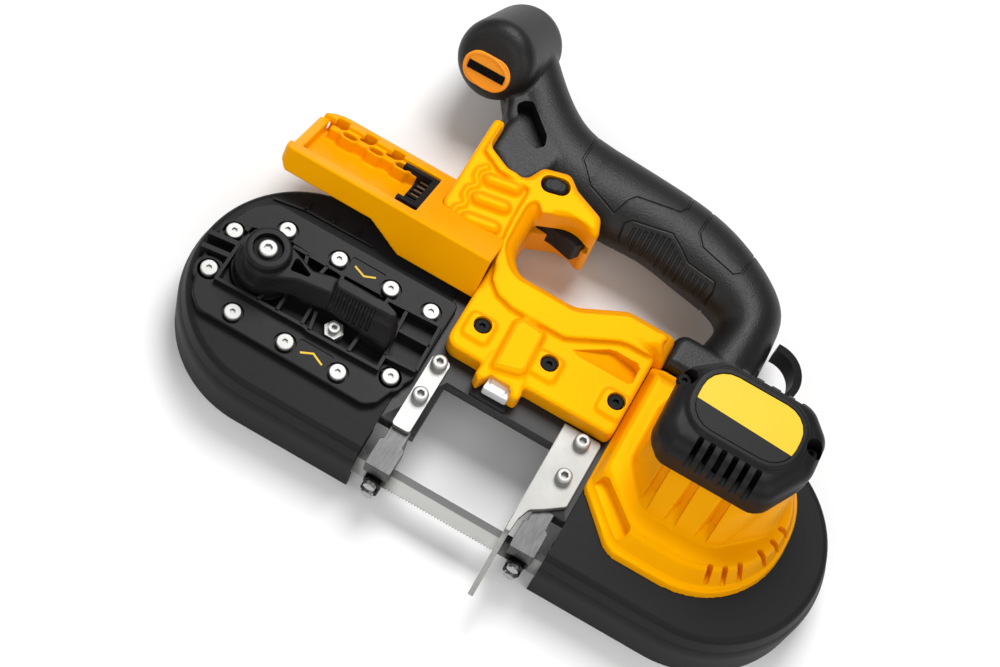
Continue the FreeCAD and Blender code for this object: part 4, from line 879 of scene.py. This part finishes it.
# %% [markdown]
# Last the bar is parted into the front handle and the main handle along the seam, as the two mouldings are
# on the tool. A copy keeps what lies inside the parting block, and the bar itself keeps the rest.

# %% Part the handles
front = copy_of(handles, "front_handle_grip")
parting = [
    (-29.2, 200, 0), (-29.2, 155.1, 0), (-25.1, 150.8, 0), (-18.9, 144, 0), (-10, 128, 0),
    (-20, 100, 0), (-70, 100, 0), (-160, 150, 0), (-160, 260, 0), (-29.2, 260, 0),
]
combine(front, block("parting", parting, BELOW, ABOVE), "INTERSECT")
combine(handles, block("parting", parting, BELOW, ABOVE))
handles.name = "main_handle_grip"
fit(front, grip_finish, "grip_rubber", "saw", "front_handle")
fit(handles, grip_finish, "grip_rubber", "saw", "main_handle", "grip_pad")

# %% [markdown]
# ## Yellow shell
# The shell is a clamshell moulding. Its upper half has a flat face, a crest that curves round the hand
# opening and a nose over the trigger. The opening's edge is rolled over widely, because fingers go there,
# and the outer edges less.

# %% Shell block and crest
SHELL_TOP = 58
FACE = 55
GUARD_TOP = 42.0
SKIN_GAP = 0.05
shell = block("shell_upper_half", SHELL, 33, SHELL_TOP)


def by_the_opening(point):
    """Whether a point of the upper edge lies on the hand opening's side."""
    inside = -37 < point.x < 68.5 and 60 < point.y < 110.5
    return inside and point.y < 90 + abs(point.x) and point.z > SHELL_TOP - 0.01


def on_the_outside(point):
    """Whether a point of the upper edge lies away from the hand opening."""
    return point.z > SHELL_TOP - 0.01 and not (-37 < point.x < 66 and 56 < point.y < 106)


round_over(shell, 14, by_the_opening, 6)
round_over(shell, 4.5, on_the_outside)
melt(shell, 0.8, 1)
over_guards = [(-95, -5, 0), (80, -5, 0), (80, 68.6, 0), (-95, 68.6, 0)]
combine(shell, block("under_cut", over_guards, BELOW, GUARD_TOP + SKIN_GAP))
crest = [
    (-46, 118), (-44.9, 90.3), (-43.5, 80), (-41.5, 68.5), (-37.4, 57), (-30.5, 50.5),
    (-19.7, 47.4), (7, 47.6), (13.6, 48), (39.9, 62.4), (45.9, 63.8), (80, 64.9),
    (80, 0), (-95, 0), (-95, 160), (-79, 160), (-79, 126), (-66, 119),
]
combine(shell, block("face_cut", [(x, y, 0) for x, y in crest], FACE, ABOVE))
print("shell block with its crest")

# %% [markdown]
# On the face stand a raised panel behind the work light, the light's hood with two lobes, a pad round
# each screw, and three finger bumps by the front handle. Melted once more, they grow out of the face with
# soft roots.

# %% Raised parts of the shell
SHELL_SCREWS = [(-28.7 + 41.7 * step, 30.5) for step in range(3)]
light_panel = [(-13.5, 10, 2), (2.5, 14.5, 3), (4.6, 18, 3), (3.2, 45, 3), (-12, 46.5, 3), (-14.8, 42, 3)]
light_hood = [
    (-19.1, 4.1, 1), (-15.4, 0.3, 1), (-11.2, 7.9, 1), (1.4, 7.3, 1), (3.5, 1.2, 1),
    (8.2, 1.7, 2), (8.8, 5.8, 1), (6.5, 15.5, 2), (6, 22, 1), (-18, 22, 1),
]
raised = [block("light_panel", light_panel, 50, 58, 1.6), block("light_hood", light_hood, 42.5, 55.4, 1.5)]
for x, y in SHELL_SCREWS:
    raised.append(block("screw_pad", box_at(x - 0.8, y - 2.5, 15.5, 16, 3), 50, 56.2, 0.8))
for x, y in ((-59.5, 84.5), (-60.5, 99), (-60.5, 113)):
    raised.append(block("finger_bump", box_at(x, y, 23, 8, 3.8, 11), 50, 58.6, 3.0))
for y in (77, 91.5, 105.5):
    ends = [(-72, y), (-76, y + 4), (-76, y + 9), (-72, y + 13.5)]
    raised.append(strip("bump_web", ends, 50, 56.6, 2.4))
together(shell, *raised)
melt(shell, 0.85, 5)
print("raised parts of the shell:", len(raised))

# %% [markdown]
# A wedge is sunk into the face towards the motor, deepest at its rear end. It starts as a plain block, and
# the front and middle corners of its floor are lifted before it is cut out.

# %% Wedge in the shell
WEDGE_FLOOR = 46
wedge_outline = [
    (20, 45.0, 0), (37.5, 56.5, 2), (41.5, 57.6, 2), (54.5, 57.6, 2),
    (57.2, 55.2, 1.5), (57.4, 45.7, 1.5), (55.2, 43.6, 1), (25.2, 43.2, 1),
]
wedge = block("wedge", wedge_outline, WEDGE_FLOOR, ABOVE)
open_up(wedge)
pick(wedge, "verts", lambda point: point.z < WEDGE_FLOOR + 0.01 and point.x < 29)
bpy.ops.transform.translate(value=(0, 0, 8.6 * MM))
pick(wedge, "verts", lambda point: point.z < WEDGE_FLOOR + 0.01 and point.x < 46)
bpy.ops.transform.translate(value=(0, 0, 4.0 * MM))
close(wedge)
combine(shell, wedge)
use(shell, "SMOOTH", factor=0.4, iterations=2)
print("wedge in the shell")

# %% [markdown]
# Crisp details come after the melting: wells for the screws, the oval well and bore of the lock button,
# the room of the trigger, a fine line round the panel, the parting line that runs round the opening, and
# the seam to the neck of the tray.

# %% Wells and lines of the shell
BEAN = (-34.5, 128.2)
BEAN_TURN = 16
for x, y in SHELL_SCREWS:
    combine(shell, can("screw_well", x, y, 51.95, ABOVE, 5.3))
    combine(shell, can("screw_bore", x, y, BELOW, ABOVE, 2.8))
combine(shell, block("lock_well", box_at(*BEAN, 17.4, 11.6, 5.5, BEAN_TURN), 48.6, ABOVE))
combine(shell, can("lock_bore", *LOCK, BELOW, ABOVE, LOCK_BORE))
trigger_room = [(-38, 100, 0), (-2, 100, 0), (0, 126, 0), (-36, 126, 0)]
combine(shell, block("trigger_room", trigger_room, BELOW, 41.6))
inner = [(-11.5, 13), (1.2, 17), (2.6, 19.5), (1.4, 42.5), (-10.6, 43.8), (-12.6, 40.5), (-11.5, 13)]
seam(shell, inner, 0.9)
parting_line = [(-36, 88), (-31, 76.5), (-22.8, 71), (7.8, 67.4), (37.9, 83.6), (66, 85.4)]
seam(shell, parting_line, 1.0)
neck = [(-45.2, 38), (-42.1, 49.2), (-49.1, 69.9), (-62, 78.5), (-90, 84)]
seam(shell, neck, 1.2)
fit(shell, yellow_finish, "yellow_plastic", "saw", "body_shell_upper")

# %% [markdown]
# ## Motor housing
# The motor stands upright behind the throat. A low skirt spreads over the gear room, slopes up to a
# crest, and a ribbed tower carries the cap. Each stage is a taper between two outlines, so its walls lean
# inwards as a mould needs.

# %% Skirt and tower
housing = taper(
    "motor_housing_shell",
    [
        (62.3, 66, 2), (62.3, -19, 5), (89.3, -45.5, 14),
        (173.5, -45.5, 52), (173.5, 67.5, 52), (70, 67.5, 3),
    ], 42,
    [
        (62.6, 65.5, 2), (62.6, -17, 5), (90, -43.5, 14),
        (172.5, -43.5, 52), (172.5, 66.5, 52), (70, 66.5, 3),
    ], 46,
    14,
)
slope = taper(
    "skirt_slope",
    [(63, 64, 2), (63, -15, 4), (91, -41, 14), (171.5, -41.5, 51), (171.5, 65.5, 51), (70, 65.5, 3)], 45,
    [(67, 58, 2), (67, -6, 4), (95.5, -32, 12), (168, -32.5, 46), (168, 56, 46), (73, 56, 3)], 56,
    14,
)
round_over(slope, 2.5, lambda point: point.z > 55.99)
tower = taper(
    "motor_tower",
    [
        (77, 42, 8), (77, 4, 10), (95, -20, 12), (134, -20, 22),
        (162, 5, 22), (162, 47, 18), (148, 60, 14), (92, 60, 14),
    ], 54,
    [
        (78.5, 44, 8), (80, 8, 8), (93, -1, 9), (146, -1, 12),
        (159.5, 22, 10), (159, 45, 12), (146, 59, 13), (95, 59, 13),
    ], 88,
)
together(housing, slope, tower)
use(housing, "REMESH", mode="VOXEL", voxel_size=0.9 * MM)
print("skirt and tower")

# %% [markdown]
# Four broad columns face the front, with wedge grooves between them that open towards the foot. Cooling
# air leaves by small slots on the far corner, and a dark pocket lies on the slope towards the throat.

# %% Grooves, slots and bore of the housing
MOTOR = (117.56, 21.2)
DRIVE = (135.06, 0)
GROOVE_TOP = 95
GEAR_ROOM_TOP = 52.6
COLUMN_GROOVES = [((94.5, -10), (91, -31)), ((112, -10.5), (108.2, -32)), ((131, -10), (126, -31))]
AIR_SLOTS = [
    (142, -29.5, -70), (150, -25.8, -60), (156.5, -19.5, -48),
    (163.5, -6, -20), (167, 3.6, -8), (168, 13, 0),
]
for start, end in COLUMN_GROOVES:
    narrow = Vector(start)
    broad = Vector(end)
    way = (broad - narrow).normalized()
    side = Vector((-way.y, way.x))
    corners = [narrow + side * 1.8, narrow - side * 1.8, broad - side * 6.5, broad + side * 6.5]
    groove = block("column_groove", [(corner.x, corner.y, 1.0) for corner in corners], 57.5, GROOVE_TOP)
    open_up(groove)
    pick(groove, "verts", lambda point: point.z > GROOVE_TOP - 0.1)
    bpy.ops.transform.translate(value=(0, 15 * MM, 0))
    close(groove)
    combine(housing, groove)
use(housing, "SMOOTH", factor=0.5, iterations=3)
pocket = [(66.4, -16.1, 2), (92.6, -39, 3), (95, -30.5, 3), (69, -8.5, 3)]
combine(housing, block("slope_pocket", pocket, 47.5, ABOVE))
for x, y, turn in AIR_SLOTS:
    combine(housing, block("air_slot", box_at(x, y, 9, 3.2, 1.4, turn), 46.5, ABOVE))
combine(housing, can("motor_bore", *MOTOR, BELOW, ABOVE, 18.6))
combine(housing, can("gear_room", *DRIVE, BELOW, GEAR_ROOM_TOP, 24))
combine(housing, block("pinion_room", box_at(124, 12, 34, 40, 8), BELOW, GEAR_ROOM_TOP))
fit(housing, yellow_finish, "yellow_plastic", "saw", "motor_housing")

# %% [markdown]
# ## End cap
# The black cap closes the tower. Its top has a raised rim round the plate, a row of vents at the front,
# and five notches at the back where the air comes in.

# %% End cap
PLATE = (118.06, 31.5)
cap_outline = [
    (78, 6, 14), (88, -4, 9), (147, -4, 12), (162, 24, 12),
    (161, 46, 11), (147, 60, 13), (95, 60, 13), (77, 44, 11),
]
cap = block("motor_end_cap", cap_outline, 86.6, 112, 10.5, 6)
rim = block("plate_rim", box_at(117.8, 31.5, 66, 43, 18), 100, 113.9, 1.2)
together(cap, rim)
melt(cap, 0.75, 4)
combine(cap, block("plate_seat", box_at(*PLATE, 59, 36, 15), 112.75, ABOVE))
for step in range(6):
    combine(cap, block("cap_vent", box_at(101.5 + 6.8 * step, 0.5, 3.4, 17, 1.2), 98, ABOVE))
for x in (101, 110, 119, 129, 137.5):
    combine(cap, block("cap_notch", box_at(x, 59.5, 5, 8, 1), 103, ABOVE))
for x, y in ((79.8, 37.5), (155.8, 36.5)):
    combine(cap, can("cap_screw_well", x, y, 100, ABOVE, 5.3))
    combine(cap, can("cap_screw_bore", x, y, BELOW, ABOVE, 2.8))
combine(cap, can("bearing_room", *MOTOR, BELOW, 108, 20))
fit(cap, black_finish, "black_plastic", "saw", "end_cap")

# %% [markdown]
# ## Plate on the cap
# The plate is thin and plain, with two fields, yellow above and black below, divided at a slant. One plate
# is copied, and each copy keeps its own field.

# %% Two-colour plate
plate = block("cap_plate", box_at(*PLATE, 58, 35, 14.5), 112.8, 113.7, 0.3)
lower_field = [(80, 27.5, 0), (160, 23.5, 0), (160, 5, 0), (80, 5, 0)]
field = copy_of(plate, "cap_plate_field")
combine(plate, block("lower_field", lower_field, BELOW, ABOVE))
combine(field, block("lower_field", lower_field, BELOW, ABOVE), "INTERSECT")
fit(plate, plate_finish, "badge_yellow", "saw", "cap_badge")
fit(field, black_finish, "black_plastic", "saw")

# %% [markdown]
# ## Cover plate
# A ribbed plate covers the slide of the front wheel. Its middle is sunk so that the lever lies low, and
# the ribs left standing keep it stiff. Every screw sits in a shallow dish. The plate stays crisp, so its
# parts are joined without melting.

# %% Cover plate
COVER = [
    (-62, -41.5, 6), (-56, -36.5, 4), (-52.5, -27, 4), (-46, -14, 5), (-46, 38.8, 4), (-160, 38, 10),
    (-172, 28, 14), (-180, 4, 14), (-178.2, -18, 14), (-172.4, -34, 8), (-164.5, -41, 6),
]
COVER_SCREWS = [(-147.6 + 32.55 * step, y) for y in (25.6, -33.2) for step in range(3)]
COVER_SCREWS += [(-57.2, 25.6), (-57.2, -20.0), (-171.6, 9.2), (-171.6, -17.6)]
COVER_TOP = 47
RIB_BASE = 42.2
DISH_FLOOR = 45.4
DISH_RADIUS = 6.4
LEVER = (-146.6, -1.2)
TRACKING_SCREW = (-96.5, -13.0)
cover = block("ribbed_cover", COVER, GUARD_TOP + SKIN_GAP, COVER_TOP, 0.9)
sunk = [
    (-182.6, 1.4), (-164.8, 19.7), (-144.6, 21.5), (-108.4, 19.4), (-80.1, 20.1), (-47.5, 21.1),
    (-47.5, -7), (-65.7, -20.9), (-82.6, -21.4), (-105.7, -19.7), (-164.6, -20.3), (-182.6, -5.8),
]
combine(cover, block("sunk_middle", [(x, y, 1) for x, y in sunk], 43.5, ABOVE))
for x, y in ((-99, 26.3), (-98.7, -32)):
    combine(cover, block("mark_field", box_at(x, y, 21, 12, 1.5), 46.4, ABOVE))
for x, y in COVER_SCREWS:
    combine(cover, can("screw_dish", x, y, DISH_FLOOR, ABOVE, DISH_RADIUS))
combine(cover, can("shaft_way", *LEVER, BELOW, ABOVE, 8.0))
combine(cover, can("tracking_way", *TRACKING_SCREW, BELOW, ABOVE, 3.4))
print("cover plate with", len(COVER_SCREWS), "screw dishes")

# %% [markdown]
# The lever and every screw get a seat of their own in the sunk middle, and the last three seats stand in
# rings. All are kept in one list, which is joined to the plate when its walls are done.

# %% Seats of the cover
seat = can("lever_seat", *LEVER, RIB_BASE, COVER_TOP, 18.5, 0.6)
combine(seat, can("shaft_way", *LEVER, BELOW, ABOVE, 8.0))
stiffeners = [seat]
for x, y in COVER_SCREWS:
    stiffeners.append(can("screw_seat", x, y, RIB_BASE, COVER_TOP, 4.95))
    if (x, y) in COVER_SCREWS[-3:]:
        ring = can("seat_ring", x, y, RIB_BASE, COVER_TOP - 0.1, 8.4, 0.5)
        combine(ring, can("ring_dish", x, y, DISH_FLOOR, ABOVE, DISH_RADIUS))
        stiffeners.append(ring)
print("seats of the cover:", len(stiffeners))

# %% [markdown]
# The sunk middle is walled like an egg box, and each wall is a strip. Low ribs run over the guard behind
# the plate, and a strip round its edge reaches down to the guard.

# %% Walls of the cover
WALLS = [
    [
        (-165, 2.4), (-164.8, -21.8), (-140, -21.3), (-111, -20.8), (-107.3, -21.8),
        (-84, -21.3), (-65.2, -20.8), (-65.5, -12.3), (-47, -11),
    ],
    [
        (-139.7, 17.5), (-111.4, 17.5), (-108, 16.9), (-107.8, 14.3),
        (-80.5, 14.3), (-80.3, 17.8), (-48.3, 19.6), (-47, -10.5),
    ],
    [(-65.6, -12), (-66.5, -5), (-68.3, 17)],
    [(-66.2, 5.2), (-47.8, 5.8)],
    [(-83.5, -21), (-83, -8.8), (-66.5, -8.6)],
    [(-107.3, -21.5), (-109.5, -9.8)],
    [(-128, -21), (-128, -9)],
    [(-112.5, -20.5), (-113, -9)],
    [(-140.2, -21), (-138.4, -16.8)],
    [(-118, 17.2), (-119, 11)],
    [(-130.5, 17.2), (-128, 9)],
]
GUARD_RIBS = [
    [(-165, 41), (-146.5, 44.4), (-104, 45.4)],
    [(-146.6, 44), (-146.2, 50)],
    [(-130.2, 45), (-129.7, 50.6)],
    [(-114.8, 45.4), (-114.6, 51)],
]
for line in WALLS:
    stiffeners.append(strip("cell_wall", line, RIB_BASE, 51.2, 1.9))
for line in (((-182.4, 0.4), (-165, 2.6)), ((-182, -8.3), (-164.6, -6.0))):
    stiffeners.append(strip("fork_rib", line, RIB_BASE, 50.6, 2.8))
fork_end = [(-166.2, 12.4), (-165.8, 16.6), (-160.2, 18.8)]
stiffeners.append(strip("fork_rib", fork_end, RIB_BASE, 49.5, 2.4))
for line in GUARD_RIBS:
    stiffeners.append(strip("guard_rib", line, 40.5, 43.4, 1.3))
edge = [
    (-160, 37), (-171.3, 27.4), (-179, 4), (-177.3, -18), (-171.6, -33.4),
    (-164, -40.1), (-62.4, -40.6), (-56.8, -36), (-53.4, -27), (-47, -14),
]
stiffeners.append(strip("cover_wall", edge, 37.0, 42.6, 1.6))
together(cover, *stiffeners)
fit(cover, black_finish, "black_plastic", "saw", "cover_plate")

# %% [markdown]
# Two plain pointed lines on the sunk fields show the way the band runs.

# %% Way marks
marks = strip("way_marks", [(-105.9, 27.6), (-98.9, 24.9), (-92.8, 27.6)], 46.0, 46.75, 1.1)
second = strip("way_mark", [(-105.5, -33.4), (-99, -30.2), (-91.9, -33.6)], 46.0, 46.75, 1.1)
together(marks, second)
fit(marks, plate_finish, "badge_yellow", "saw")

# %% [markdown]
# ## Tension lever
# The lever is a hub with a waisted arm, and a finger ridge along the arm's outer half. Arm and ridge lean
# inwards as they rise, so each is a taper between two outlines, and melting joins them to the round hub.

# %% Arm, ridge and hub of the lever
arm_low = [
    (-158.1, -10.2, 8), (-160.1, 2.6, 8), (-153.4, 12, 7), (-141.3, 12.2, 5), (-120.5, 4.0, 4),
    (-110, 7.2, 3), (-75, 7.8, 4), (-67.3, 5.2, 3), (-65, -4, 3), (-66.8, -10.9, 3),
    (-80, -10.2, 3), (-104, -8.2, 4), (-125, -10.4, 5), (-143.4, -17.8, 6), (-151.3, -16.5, 6),
]
arm_high = [
    (-157, -9.4, 7), (-159, 2.4, 7), (-153, 11, 6), (-141.5, 11.2, 4), (-121, 3.2, 3),
    (-110, 6.4, 2), (-76, 6.8, 3), (-69.5, 4.4, 2), (-68.5, 0, 2), (-70.5, -3.6, 2),
    (-81, -3.8, 2), (-104, -3.0, 3), (-125, -6.0, 4), (-143.4, -15.5, 5), (-150.8, -14.8, 5),
]
lever = taper("lever_arm", arm_low, 54.3, arm_high, 66.5)
finger = taper(
    "finger_ridge",
    [
        (-108, 6.8, 3), (-75, 7.4, 3), (-67.3, 5.0, 3),
        (-65.2, -4.5, 3), (-67, -10.6, 3), (-106, -8.4, 3),
    ], 57,
    [
        (-107, 5.4, 2), (-76, 6.0, 2), (-70.5, 4.2, 2),
        (-69.5, 2.0, 1), (-72, 0.6, 1), (-105, 0.0, 2),
    ], 70.8,
)
lever_foot = can("lever_foot", *LEVER, 47.4, 58, 16.8, 4.0)
lever_hub = can("lever_hub", *LEVER, 50, 73, 12.8, 1.5)
together(lever, lever_foot, lever_hub, finger)
melt(lever, 0.6, 4)
print("lever melted:", len(lever.data.polygons), "faces")

# %% [markdown]
# The arm has a window beside the hub, and the sloping side of the ridge has ribs for the finger. The lever
# turns with its shaft, so the piece has a seat for the shaft, rides on the lever's body and keeps clear of
# the cover.

# %% Window, ribs and seats of the lever
SCREW_WAY = 2.6
window = [(-131.5, -3.4, 1.5), (-121, -1.6, 1.0), (-120.5, 0.4, 1.0), (-132.5, 6.2, 1.8)]
combine(lever, block("window", window, 56, ABOVE))
for step in range(7):
    x = -104.5 + 3.8 * step
    seam(lever, [(x, -0.4), (x + 1.0, -8.8)], 2.7)
combine(lever, can("shaft_seat", *LEVER, BELOW, 65.0, 7.55))
combine(lever, can("screw_way", *LEVER, BELOW, ABOVE, SCREW_WAY))
combine(lever, can("washer_seat", *LEVER, 69.0, ABOVE, 8.6))
fit(lever, black_finish, "black_plastic", "lever", "tension_lever")

# %% [markdown]
# The screw on the lever's hub is bright, over a dark washer. It is the solid screw's shape in two pieces,
# so that each can have its own finish.

# %% Lever screw
washer = can("lever_washer", *LEVER, 69.05, 70.2, 8.0, 0.3)
combine(washer, can("washer_hole", *LEVER, BELOW, ABOVE, SCREW_WAY))
fit(washer, dark_finish, "dark_steel", "lever")
screw = can("lever_screw_head", *LEVER, 70.2, 72.9, 5.2, 1.0)
settle()
bpy.ops.mesh.primitive_cylinder_add(vertices=6, radius=2.5 * MM, depth=4 * MM, location=at(*LEVER, 73.2))
hexagon = bpy.context.object
bpy.ops.object.transform_apply(location=True)
combine(screw, hexagon)
shank = can("screw_shank", *LEVER, 58, 70.5, 2.4)
together(screw, shank)
fit(screw, plated_finish, "plated_steel", "lever", "lever_screw")

# %% [markdown]
# ## Lock button
# The lock button is a glossy bean in an oval well. It slides with its stem, so the solid stem is copied
# and the bean added on top.

# %% Lock button
button = weld(copy_of(nodes["lock_button"], "lock_bean"))
together(button, block("bean", box_at(*BEAN, 14.6, 9.0, 4.4, BEAN_TURN), 54.0, 58.4, 2.0))
fit(button, black_finish, "black_plastic", "lock", "lock_button")

# %% [markdown]
# ## Battery tray
# The tray leans away from the shell. What is added to it is drawn flat, where its lines are square, and is
# then tipped into its place.

# %% Tip the tray's parts over
TRAY_TILT = math.radians(32)


def tip_over(piece):
    """Turn a piece from the flat drawing of the tray into its place on the saw."""
    open_up(piece)
    bpy.ops.mesh.select_all(action="SELECT")
    bpy.ops.transform.rotate(value=TRAY_TILT, orient_axis="X", center_override=at(0, 0, 0))
    bpy.ops.transform.translate(value=Vector((0, 58.6, 71.5)) * MM)
    return close(piece)


print("tray tilt", round(math.degrees(TRAY_TILT)), "degrees")

# %% [markdown]
# The solid tray gives the rails; its corners are softened, a low lip closes the tip, and a ledge of three
# six-sided loops runs along the far wall.

# %% Battery tray
tray = weld(copy_of(nodes["battery_foot"], "battery_tray"))
open_up(tray)
bpy.ops.mesh.select_all(action="SELECT")
bpy.ops.mesh.dissolve_limited(angle_limit=math.radians(1))
close(tray)
extras = [tip_over(block("tip_lip", box_at(-167.3, 30, 6, 50, 1), -13, -3.5, 1.2))]
for x in (-149, -132, -115):
    angles = [turn * math.pi / 3 for turn in range(7)]
    loop = [(x + 6.2 * math.cos(angle), 49.5 + 4.6 * math.sin(angle)) for angle in angles]
    extras.append(tip_over(strip("loop", loop, -11.5, -2.8, 2.0)))
for x in (-158.5, -140.5, -123.5, -107):
    extras.append(tip_over(block("ledge", box_at(x, 50, 5.5, 5, 0.6), -11.5, -3.2, 0.6)))
together(tray, *extras)
melt(tray, 0.62, 4)
fit(tray, yellow_finish, "yellow_plastic", "saw", "battery_foot")

# %% [markdown]
# The black socket at the tray's end is a bracket round the contacts, with a slotted tongue in its middle.

# %% Battery socket
socket = strip("battery_socket", [(-114, 49.5), (-94, 49.5), (-94, 14), (-106, 14)], -10.3, -0.6, 3.6)
tongue = block("socket_tongue", box_at(-99, 33, 9, 22, 1), -10.3, -3.5, 0.6)
for step in range(4):
    combine(tongue, block("slot", box_at(-100.5, 24 + 6 * step, 9, 2.2, 0.2), -8.5, 0))
together(socket, tongue)
tip_over(socket)
fit(socket, black_finish, "black_plastic", "saw", "terminal_block")

# %% [markdown]
# ## Guard rims
# The wheel guards are deep trays turned upside down, with an upright wall and a tight upper edge. A rim
# is laid round each solid guard: a stadium end with a little draft, hollow inside, open over the wheel
# and at the throat.

# %% Guard rims
GUARD_WALL = 3.0
DRAFT = 4.2
RIM_FOOT = 24.0
RIM_WIDTH = 17.5
FRONT_WHEEL_X = -121.5


def guard_rim(name, node, middle, end, open_corner):
    """Outer wall and edge of a guard, from its wheel's centre to its throat end."""
    low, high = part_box(node)
    radius = (high.y - low.y) / 2 / MM
    side = 1 if end < middle else -1

    def stadium(inset, over):
        far = middle + side * (radius - inset)
        half = radius - inset
        near = end - side * over
        return [(near, -half, 0), (far, -half, half - 0.02), (far, half, half - 0.02), (near, half, 0)]

    rim = taper(name, stadium(0.02, 6), RIM_FOOT, stadium(DRAFT, 6), GUARD_TOP, 28)
    round_over(rim, 3.2, lambda point: point.z > GUARD_TOP - 0.01)
    cuts = [
        taper("hollow", stadium(GUARD_WALL, 12), 20, stadium(DRAFT + GUARD_WALL, 12), 38.8, 28),
        taper("wheel_opening", stadium(RIM_WIDTH, 12), 30, stadium(RIM_WIDTH, 12), ABOVE, 28),
        block("throat_end", box_at(end - side * 20, 0, 40, 200, 0), BELOW, ABOVE),
        block("open_corner", open_corner, BELOW, ABOVE),
    ]
    for cut in cuts:
        combine(rim, cut, solver="MANIFOLD")
    fit(rim, guard_finish, "guard_black", "saw")


front_corner = [(-92, 46, 0), (-40, 46, 0), (-40, 90, 0), (-92, 90, 0)]
rear_corner = [(50, 44, 0), (150, 44, 0), (150, 90, 0), (50, 90, 0)]
guard_rim("front_guard_rim", "front_guard", FRONT_WHEEL_X, -51.0, front_corner)
guard_rim("rear_guard_rim", "rear_guard", DRIVE[0], REAR_GUARD_CORNER.x, rear_corner)

# %% [markdown]
# ## Throat
# The frame's top plate ends in a plain edge at the throat. The solid frame is copied, and the space under
# that edge is cut free.

# %% Frame edge
frame_cast = weld(copy_of(nodes["main_frame"], "frame_casting"))
under_edge = [(-30.5, -6, 0), (40.4, -6, 0), (40.4, 0.6, 0), (-30.5, 0.6, 0)]
combine(frame_cast, block("open_throat", under_edge, BELOW, 31.98))
fit(frame_cast, paint_finish, "frame_black", "saw", "main_frame")

# %% [markdown]
# The steel stop is folded from sheet: its flange narrows in a curve into the fence that the work leans
# on. The solid stop gives the fence, and a flange with a soft edge is laid on it.

# %% Work stop
stop = weld(copy_of(nodes["work_stop"], "folded_stop"))
flange = [
    (36.6, 9.1, 1), (59.6, 9.1, 2.5), (59.6, -33.5, 2.5), (49, -41.7, 8),
    (43, -45.6, 3), (40.4, -53, 5), (39.7, -62, 0.6), (36.6, -62, 0.6),
]
together(stop, block("flange", flange, 42.02, 45.1, 0.5))
fit(stop, frosted_finish, "plated_steel", "saw", "work_stop")

# %% [markdown]
# The two guide blocks are single steel bars, stepped in where they enter their arms. Under each bar a
# holder reaches down to the rollers.

# %% Guide blocks
BAR_HALF = 7.5
BAR_STEP = 1.9
BAR_BASE = 31.2
for middle, name in ((-37.7, "front_guide_block"), (50.4, "rear_guide_block")):
    left = middle - BAR_HALF
    right = middle + BAR_HALF
    stepped = [
        (left, -67.6, 0.8), (right, -67.6, 0.8), (right, -51.4, 0.6),
        (right - BAR_STEP, -50, 0.3), (right - BAR_STEP, -40, 0.3),
        (left + BAR_STEP, -40, 0.3), (left + BAR_STEP, -50, 0.3), (left, -51.4, 0.6),
    ]
    bar_block = block(name.replace("block", "bar"), stepped, BAR_BASE, 42, 0.25)
    holder = block("holder", box_at(middle, -46.7, 11, 13.2, 0.3), 8, BAR_BASE + 0.4)
    together(bar_block, holder)
    fit(bar_block, brushed_finish, "block_steel", "saw", name)

# %% [markdown]
# ## Work light and plug
# The lens of the work light is a white wedge between the hood's lobes, on a small black carrier.

# %% Lens and its carrier
lens_outline = [(-11.8, 0.6, 1.2), (3.6, 0.9, 1.2), (1.8, 9.5, 1.2), (-11.0, 9.8, 1.2)]
lens = block("work_light_lens", lens_outline, 42.6, 50.4, 0.6)
combine(lens, block("lens_line", box_at(-9.5, 5.0, 1.2, 6, 0.3, 14), 49.4, ABOVE))
combine(lens, block("lens_line", box_at(0.6, 4.2, 1.2, 5, 0.3, -12), 49.4, ABOVE))
fit(lens, lens_finish, "lens_clear", "saw", "led_lens")
carrier_outline = [(-17.2, -3.3, 1.5), (5.9, -3.3, 1.5), (5.0, 4.5, 1), (-16.5, 4.5, 1)]
carrier = block("light_carrier", carrier_outline, 41.5, 43.4, 0.6)
fit(carrier, black_finish, "black_plastic", "saw")

# %% [markdown]
# The plug that keeps the key in the head has a raised oval rim. It is made round at the drawing's zero,
# pulled to an oval there, and then turned and moved to the end of the head.

# %% Plug rim
rim = can("plug_rim", 0, 0, -2.0, 1.3, 10.0, 0.7)
combine(rim, can("rim_hole", 0, 0, BELOW, ABOVE, 8.7))
open_up(rim)
bpy.ops.mesh.select_all(action="SELECT")
bpy.ops.transform.translate(value=-at(0, 0, 0))
bpy.ops.transform.resize(value=PLUG_OVAL, center_override=(0, 0, 0))
settle()
take(rim)
rim.rotation_euler = HEAD_TURN
rim.location = at(*PLUG_FACE)
bpy.ops.object.transform_apply(location=True, rotation=True)
fit(rim, orange_finish, "orange_plastic", "saw")

# %% [markdown]
# The last cell hands the scene over.

# %% Hand over
print("scene handed over")
